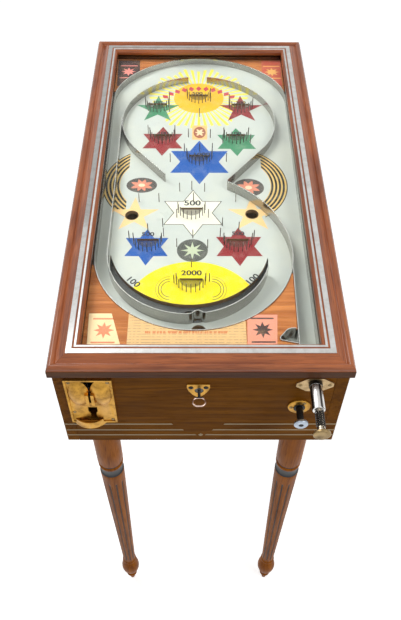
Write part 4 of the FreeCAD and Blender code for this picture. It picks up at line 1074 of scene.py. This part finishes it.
class Shop:
    """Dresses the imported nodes, or puts finer copies with eased edges in their place."""

    def __init__(self, frame: dict) -> None:
        """Read the nodes, their bodies and slots.

        Args:
            frame: What the loader gives.
        """
        self.nodes: dict[str, bpy.types.Object] = frame["nodes"]
        record = frame["record"]
        self.slots = {entry["node"]: entry["material_slot"] for entry in record["subparts"]}
        self.bodies = {node: Body(body) for body, nodes in record["behaviour"]["bodies"].items() for node in nodes}

    def dress(self, names: Iterable[str], material: bpy.types.Material) -> None:
        """Give nodes that stay a finish.

        Args:
            names: The nodes.
            material: Their finish.
        """
        for name in names:
            data = self.nodes[name].data
            data.materials.clear()
            data.materials.append(material)
            LOG.info("node %s: %s", name, material.name)

    def refine_each(self, names: Iterable[str], material: bpy.types.Material, ease: float, segments: int = 2) -> None:
        """Stand eased copies in for several nodes."""
        for name in names:
            self.refine(name, material, ease, segments)

    def refine(self, name: str, material: bpy.types.Material, ease: float, segments: int = 2) -> bpy.types.Object:
        """Stand a merged copy with eased edges in for a node.

        Args:
            name: The node.
            material: The copy's finish.
            ease: Width in millimetres of the small bevel on its edges, or 0.
            segments: Steps of that bevel.

        Returns:
            The copy.
        """
        mesh = bmesh.new()
        mesh.from_mesh(self.nodes[name].data)
        bmesh.ops.remove_doubles(mesh, verts=mesh.verts, dist=2e-6)
        bmesh.ops.dissolve_degenerate(mesh, dist=1e-6, edges=mesh.edges)
        bmesh.ops.recalc_face_normals(mesh, faces=mesh.faces)
        if ease > 0:
            bmesh.ops.dissolve_limit(mesh, angle_limit=math.radians(0.4), use_dissolve_boundaries=False,
                                     verts=mesh.verts, edges=mesh.edges)
        obj = piece_from(name + "_piece", mesh, material, self.bodies[name], SHARP_EDGE)
        if ease > 0:
            bevel = obj.modifiers.new("eased_edges", "BEVEL")
            bevel.width = ease * MM
            bevel.segments = segments
            bevel.limit_method = "ANGLE"
            bevel.angle_limit = math.radians(SHARP_EDGE)
            bevel.miter_outer = "MITER_ARC"
            bevel.harden_normals = True
        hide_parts(name)
        return obj


@dataclass
class TurnedLegs:
    """Four legs turned on a lathe, with flutes cut down their taper and painted shade in the flutes."""

    top: float = 744.0
    flutes: int = 10
    groove: float = 2.1
    depth: float = 1.6
    low: float = 128.0
    high: float = 530.0
    runout: float = 7.0
    steps: int = 160
    painted_shadow_share: float = 0.62
    painted_shadow_margin: float = 3.0
    dark_rings: tuple[tuple[float, float], ...] = ((560.5, 582.0), (591.5, 596.5))
    axes: tuple[tuple[str, float, float], ...] = (
        ("leg_front_left", -157.3, -362.3), ("leg_front_right", 157.3, -362.3),
        ("leg_rear_left", -157.3, 362.3), ("leg_rear_right", 157.3, 362.3))

    def outline(self) -> list[tuple[float, float]]:
        """Radius and height of the turning, from the tip up.

        Returns:
            Its points in millimetres.
        """
        points = [(4.2, 0.0), (4.9, 0.6), (5.4, 3.0), (6.3, 12.0), (7.8, 24.0), (8.1, 26.0), (10.6, 27.4),
                  (11.6, 29.4), (11.8, 32.0), (11.4, 34.6), (10.4, 36.2), (9.2, 37.4), (9.3, 38.6)]
        (neck, foot), foot_tall, foot_steps = points[-1], 73.0, 16
        for number in range(1, foot_steps):
            share = number / foot_steps
            points.append((neck + 8.9 * math.sin(math.pi * share) + 2.1 * share, foot + foot_tall * share))
        points += [(11.6, 112.0), (13.6, 113.0), (14.8, 114.8), (15.0, 117.0), (14.6, 119.4), (13.3, 121.2),
                   (13.0, 122.6)]
        (thin, base), thick, shoulder, count = points[-1], 21.5, 559.0, 44
        for number in range(1, count + 1):
            share = number / count
            points.append((thin + (thick - thin) * share, base + (shoulder - base) * share))
        points += [(21.3, 560.6), (20.0, 562.0), (19.3, 563.4), (19.3, 581.0), (20.4, 582.6), (21.8, 584.2),
                   (22.0, 587.6), (21.6, 590.4), (20.2, 591.8), (19.9, 594.0), (20.2, 596.2), (21.8, 597.4),
                   (22.4, 599.4), (22.5, 640.0), (22.5, 690.0), (22.5, self.top)]
        return points

    def carve(self, mesh: bmesh.types.BMesh) -> None:
        """Press the flutes in, with their ends running out.

        Args:
            mesh: The turned leg, with its axis at the origin.
        """
        for vert in mesh.verts:
            height = vert.co.z / MM
            if not self.low < height < self.high:
                continue
            aside = self.beside(vert.co)
            if aside >= 1.0:
                continue
            fade = min(1.0, (height - self.low) / self.runout, (self.high - height) / self.runout)
            cut = self.depth * math.sqrt(1 - aside ** 2) * fade
            vert.co.xy *= 1.0 - cut * MM / vert.co.xy.length

    def beside(self, spot: Vector) -> float:
        """Measure how far a point lies beside the nearest flute's middle.

        Args:
            spot: The point, from the leg's axis.

        Returns:
            The distance as a share of the flute's half width.
        """
        pitch = FULL_TURN / self.flutes
        turn = math.atan2(spot.y, spot.x) % pitch
        return min(turn, pitch - turn) * spot.xy.length / MM / self.groove

    def build(self, shop: Shop, finishes: Finishes, band: bpy.types.Material) -> None:
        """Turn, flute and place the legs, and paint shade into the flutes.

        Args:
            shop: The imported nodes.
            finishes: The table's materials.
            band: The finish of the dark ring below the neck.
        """
        for name, x, y in self.axes:
            mesh = bmesh.new()
            verts = [mesh.verts.new((radius * MM, 0.0, height * MM)) for radius, height in self.outline()]
            edges = [mesh.edges.new(pair) for pair in zip(verts, verts[1:])]
            bmesh.ops.spin(mesh, geom=verts + edges, cent=(0, 0, 0), axis=(0, 0, 1), angle=FULL_TURN,
                           steps=self.steps, use_merge=True)
            bmesh.ops.remove_doubles(mesh, verts=mesh.verts, dist=1e-6)
            rims = [edge for edge in mesh.edges if edge.is_boundary]
            bmesh.ops.holes_fill(mesh, edges=rims, sides=0)
            self.carve(mesh)
            axis = plan(x, y)
            bmesh.ops.translate(mesh, verts=mesh.verts, vec=axis)
            bmesh.ops.recalc_face_normals(mesh, faces=mesh.faces)
            obj = piece_from(name + "_piece", mesh, finishes.leg, shop.bodies[name], 40.0)
            obj.data.materials.append(band)
            obj.data.materials.append(finishes.bead)
            for polygon in obj.data.polygons:
                height = polygon.center.z / MM
                fluted = self.low + self.painted_shadow_margin < height < self.high - self.painted_shadow_margin
                if any(low < height < high for low, high in self.dark_rings):
                    polygon.material_index = 1
                # painted shade: faces in the middle of each flute take the dark bead wood
                elif fluted and self.beside(polygon.center - axis) < self.painted_shadow_share:
                    polygon.material_index = 2
            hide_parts(name)


@dataclass(frozen=True)
class Mark:
    """A printed number: its text, where it is, how far it is turned in degrees, and its size."""

    text: str
    x: float
    y: float
    turn: float
    size: float


MARKS = (
    Mark("500", -13.0, -43.5, 0.0, 12.5), Mark("1000", 3.0, 85.0, 0.0, 10.5),
    Mark("2000", -14.0, -203.0, 0.0, 10.5), Mark("100", -105.0, -221.0, -42.0, 11.0),
    Mark("100", 81.5, -216.0, 44.0, 11.0), Mark("500", -86.0, -118.0, 0.0, 9.0),
    Mark("500", 62.5, -116.0, 0.0, 9.0), Mark("100", -69.0, 147.0, 0.0, 9.0),
    Mark("100", 68.0, 147.0, 0.0, 9.0), Mark("100", -82.0, 243.5, 0.0, 8.5),
    Mark("300", 81.0, 243.0, 0.0, 8.5), Mark("500", -4.0, 273.0, 0.0, 9.0),
)


@dataclass
class NumberPrint:
    """Plain scoring numbers printed on the board."""

    lift: float = 0.06
    stretch: float = 1.15
    body_size: float = 1.35
    weight: float = 0.34
    ink: float = 0.04

    def shape(self, name: str, mark: Mark) -> bmesh.types.BMesh:
        """Cut one number out as a thin solid about the origin.

        Args:
            name: The number's name.
            mark: Its text and size.

        Returns:
            Its mesh.
        """
        curve = bpy.data.curves.new(name + "_curve", "FONT")
        curve.body = mark.text
        curve.size = mark.size * self.body_size * MM
        curve.align_x = curve.align_y = "CENTER"
        curve.offset = self.weight * MM
        curve.extrude = self.ink * MM
        text = link_object(name + "_text", curve)
        bpy.context.view_layer.update()
        data = bpy.data.meshes.new_from_object(text)
        bpy.data.objects.remove(text)
        mesh = bmesh.new()
        mesh.from_mesh(data)
        bpy.data.meshes.remove(data)
        bmesh.ops.remove_doubles(mesh, verts=mesh.verts, dist=1e-6)
        bmesh.ops.recalc_face_normals(mesh, faces=mesh.faces)
        return mesh

    def build(self, finishes: Finishes) -> None:
        """Set out each number on the slope.

        Args:
            finishes: The table's materials.
        """
        slope = Matrix.Rotation(BOARD_SLOPE, 4, "X")
        wider = Matrix.Diagonal((self.stretch, 1.0, 1.0, 1.0))
        for index, mark in enumerate(MARKS):
            name = f"field_number_{index + 1}"
            mesh = self.shape(name, mark)
            spot = Matrix.Translation(plan(mark.x, mark.y, board_height(mark.y) + self.lift))
            turn = Matrix.Rotation(math.radians(mark.turn), 4, "Z")
            bmesh.ops.transform(mesh, matrix=spot @ slope @ turn @ wider, verts=mesh.verts)
            piece_from(name, mesh, finishes.ink, Body.CABINET)


@dataclass
class Cabinet:
    """The box, its inlays and everything plain inside it; sizes are the widths of eased edges."""

    front_ease: float = 0.6
    side_ease: float = 1.0
    hinge_ease: float = 0.2

    def build(self, shop: Shop, f: Finishes) -> None:
        """Dress the box's boards and hidden pieces.

        Args:
            shop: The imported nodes.
            f: The table's materials.
        """
        shop.refine_each(("front_panel", "back_panel"), f.box_across, self.front_ease)
        shop.refine_each(("side_left", "side_right"), f.box_along, self.side_ease)
        shop.dress(["front_inlays"], f.inlay)
        shop.dress(["bottom_board", "leg_blocks", "field_cleats", "plate_blocks", "return_tray"], f.inner_wood)
        shop.dress(["leg_bolts"], f.steel)
        shop.dress(["cash_box", "coin_chute", "lock_case", "lever_bracket"], f.tin)
        shop.refine_each(("hinge_box_leaves", "hinge_lid_leaves"), f.steel, self.hinge_ease, 1)


@dataclass
class Lid:
    """The glazed lid: moulded rails, inlaid strips, beads and the pane."""

    rail_ease: float = 0.5
    strip_ease: float = 0.25

    def build(self, shop: Shop, f: Finishes) -> None:
        """Dress the lid.

        Args:
            shop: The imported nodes.
            f: The table's materials.
        """
        shop.refine_each(("lid_front", "lid_rear"), f.lid_across, self.rail_ease)
        shop.refine_each(("lid_left", "lid_right"), f.lid_along, self.rail_ease)
        shop.refine_each(("wide_strips", "thin_strips"), f.strip, self.strip_ease)
        shop.dress(["glazing_beads"], f.bead)
        shop.dress(["strike_plate"], f.steel)
        shop.refine("glass_pane", f.glass, 0.0)


@dataclass
class Playfield:
    """The nail board with its metal walls, nails, plates and cards."""

    wall_ease: float = 0.15
    plate_ease: float = 0.3

    def build(self, shop: Shop, f: Finishes) -> None:
        """Dress the playing field.

        Args:
            shop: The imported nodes.
            f: The table's materials.
        """
        shop.dress(["playfield_board"], f.field)
        shop.dress(["gutter_tray"], f.gutter)
        shop.refine_each(("outer_rail", "right_rail", "left_rail", "inner_rail", "lane_rail", "lift_hoop",
                          "field_border"), f.rail, self.wall_ease)
        shop.refine_each(("front_plate", "rear_plates"), f.plate, self.plate_ease)
        shop.refine("nails", f.nail, self.plate_ease)
        shop.dress(["paper_cards"], f.cards)
        shop.dress(["steel_balls"], f.ball)
        NumberPrint().build(f)


@dataclass
class Fittings:
    """The metal fittings on the front; each limit says where a piece takes its second finish, in metres."""

    brass_ease: float = 0.35
    knob_ease: float = 0.4
    rod_ease: float = 0.3
    lever_ease: float = 0.2
    hub_front: float = -0.3769
    bow_front: float = -0.3875
    barrel_root: float = -0.3817
    lock_middle: float = -0.0035
    lock_half: float = 0.02

    def build(self, shop: Shop, f: Finishes) -> None:
        """Dress the fittings.

        Args:
            shop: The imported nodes.
            f: The table's materials.
        """
        shop.refine_each(("coin_plate", "coin_boss", "coin_cup", "escutcheon"), f.brass, self.brass_ease)
        flange = shop.refine("lift_flange", f.brass, self.brass_ease)
        self.repaint(flange, f.black, lambda spot: spot.y < self.hub_front)
        shop.refine("plunger_flange", f.tan_brass, self.knob_ease)
        screws = shop.refine("brass_screws", f.knob_brass, 0.0)
        self.repaint(screws, f.black, lambda spot: abs(spot.x - self.lock_middle) < self.lock_half)
        key = shop.refine("key", f.black, 0.0)
        self.repaint(key, f.rose, lambda spot: spot.y < self.bow_front)
        barrel = shop.refine("plunger_barrel", f.chrome, self.rod_ease)
        self.repaint(barrel, f.black, lambda spot: spot.y > self.barrel_root)
        shop.refine("plunger_rod", f.nickel, self.rod_ease)
        shop.refine("plunger_knob", f.knob_brass, self.knob_ease)
        shop.refine_each(("cushion_spring", "main_spring"), f.black, 0.0)
        shop.refine("lift_rod", f.black, self.rod_ease)
        shop.refine("lift_knob", f.blued, self.knob_ease)
        shop.refine("lift_lever", f.steel, self.lever_ease)

    def repaint(self, obj: bpy.types.Object, material: bpy.types.Material, chosen: Callable[[Vector], bool]) -> None:
        """Give part of a piece a second finish.

        Args:
            obj: The piece.
            material: The second finish.
            chosen: Tells from a face's middle whether it takes that finish.
        """
        obj.data.materials.append(material)
        for polygon in obj.data.polygons:
            if chosen(polygon.center):
                polygon.material_index = 1


@dataclass
class Studio:
    """The floor, the soft lights, the white surround and the camera."""

    lens: float = 41.33
    sensor: float = 36.0
    eye: tuple[float, float, float] = (-8.4, -960.1, 1729.0)
    pitch: float = 50.4836
    yaw: float = -0.6982
    roll: float = 0.59
    aim: tuple[float, float, float] = (0.0, 0.0, 0.7)
    lamps: tuple[tuple[str, tuple[float, float, float], float, float], ...] = (
        ("key_lamp", (-1.3, 0.8, 3.0), 1.2, 27.0), ("fill_lamp", (1.8, -1.4, 2.6), 1.8, 26.0))
    floor_glow: float = 0.60
    fill_light: float = 0.36
    seen_light: float = 1.0
    mirrored_light: float = 0.8

    def camera(self) -> None:
        """Place the camera that the photograph's perspective gives."""
        pitch, yaw, roll = (math.radians(angle) for angle in (self.pitch, self.yaw, self.roll))
        turn = Matrix.Rotation(yaw, 3, "Z")
        forward = turn @ Vector((0, math.cos(pitch), -math.sin(pitch)))
        up = turn @ Vector((0, math.sin(pitch), math.cos(pitch)))
        right = turn @ Vector((1, 0, 0))
        side = math.cos(roll) * right + math.sin(roll) * up
        top = -math.sin(roll) * right + math.cos(roll) * up
        data = bpy.data.cameras.new("camera")
        data.lens = self.lens
        data.sensor_width = self.sensor
        data.clip_end = 50.0
        obj = link_object("camera", data)
        facing = Matrix((side, top, -forward)).transposed().to_4x4()
        obj.matrix_world = Matrix.Translation(plan(*self.eye)) @ facing
        bpy.context.scene.camera = obj

    def floor(self) -> None:
        """A pale floor that keeps the shadow."""
        mesh = bmesh.new()
        bmesh.ops.create_grid(mesh, x_segments=2, y_segments=2, size=8.0)
        data = bpy.data.meshes.new("floor")
        mesh.to_mesh(data)
        mesh.free()
        obj = link_object("floor", data)
        obj.location.z = -0.2 * MM
        material, g, shader = new_material("floor_white")
        path = g.add("ShaderNodeLightPath")
        seen = g.math("MAXIMUM", path.outputs["Is Camera Ray"], path.outputs["Is Glossy Ray"])
        seen = g.math("MAXIMUM", seen, path.outputs["Is Transmission Ray"])
        g.fill(shader, Base_Color=(0.9, 0.9, 0.9), Roughness=0.9, Specular_IOR_Level=0.1,
               Emission_Color=WHITE, Emission_Strength=g.times(seen, self.floor_glow))
        data.materials.append(material)

    def surround(self) -> None:
        """A white surround, seen by the camera and by metal and glass, over a softer fill light."""
        world = bpy.data.worlds.new("surround")
        world.use_nodes = True
        bpy.context.scene.world = world
        tree = world.node_tree
        tree.nodes.clear()
        g = Graph(tree)
        path = g.add("ShaderNodeLightPath")
        seen = g.math("MAXIMUM", path.outputs["Is Camera Ray"], path.outputs["Is Transmission Ray"])
        glossy = path.outputs["Is Glossy Ray"]
        strength = g.blend(glossy, g.blend(seen, self.fill_light, self.seen_light), self.mirrored_light)
        back = g.fill(g.add("ShaderNodeBackground"), Color=WHITE, Strength=strength)
        leave = g.add("ShaderNodeOutputWorld")
        tree.links.new(back.outputs[0], leave.inputs[0])

    def lamp(self, name: str, spot: tuple[float, float, float], size: float, power: float) -> None:
        """Add one soft square lamp that faces the table.

        Args:
            name: The lamp's name.
            spot: Where it hangs, in metres.
            size: Length of its side.
            power: Its power in watts.
        """
        data = bpy.data.lights.new(name, "AREA")
        data.size = size
        data.energy = power
        obj = link_object(name, data)
        toward = Vector(self.aim) - Vector(spot)
        obj.matrix_world = Matrix.Translation(spot) @ toward.to_track_quat("-Z", "Y").to_matrix().to_4x4()

    def build(self) -> None:
        """Set up the whole studio."""
        bpy.context.scene.view_settings.view_transform = "Standard"
        self.camera()
        self.floor()
        self.surround()
        for lamp in self.lamps:
            self.lamp(*lamp)


def main() -> None:
    """Build the studio and the table."""
    logging.basicConfig(level=logging.INFO, format="%(name)s: %(message)s")
    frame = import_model()
    Studio().build()
    shop = Shop(frame)
    finishes = Finishes()
    Cabinet().build(shop, finishes)
    TurnedLegs().build(shop, finishes, finishes.ink)
    Lid().build(shop, finishes)
    Playfield().build(shop, finishes)
    Fittings().build(shop, finishes)


if __name__ == "__main__":
    main()
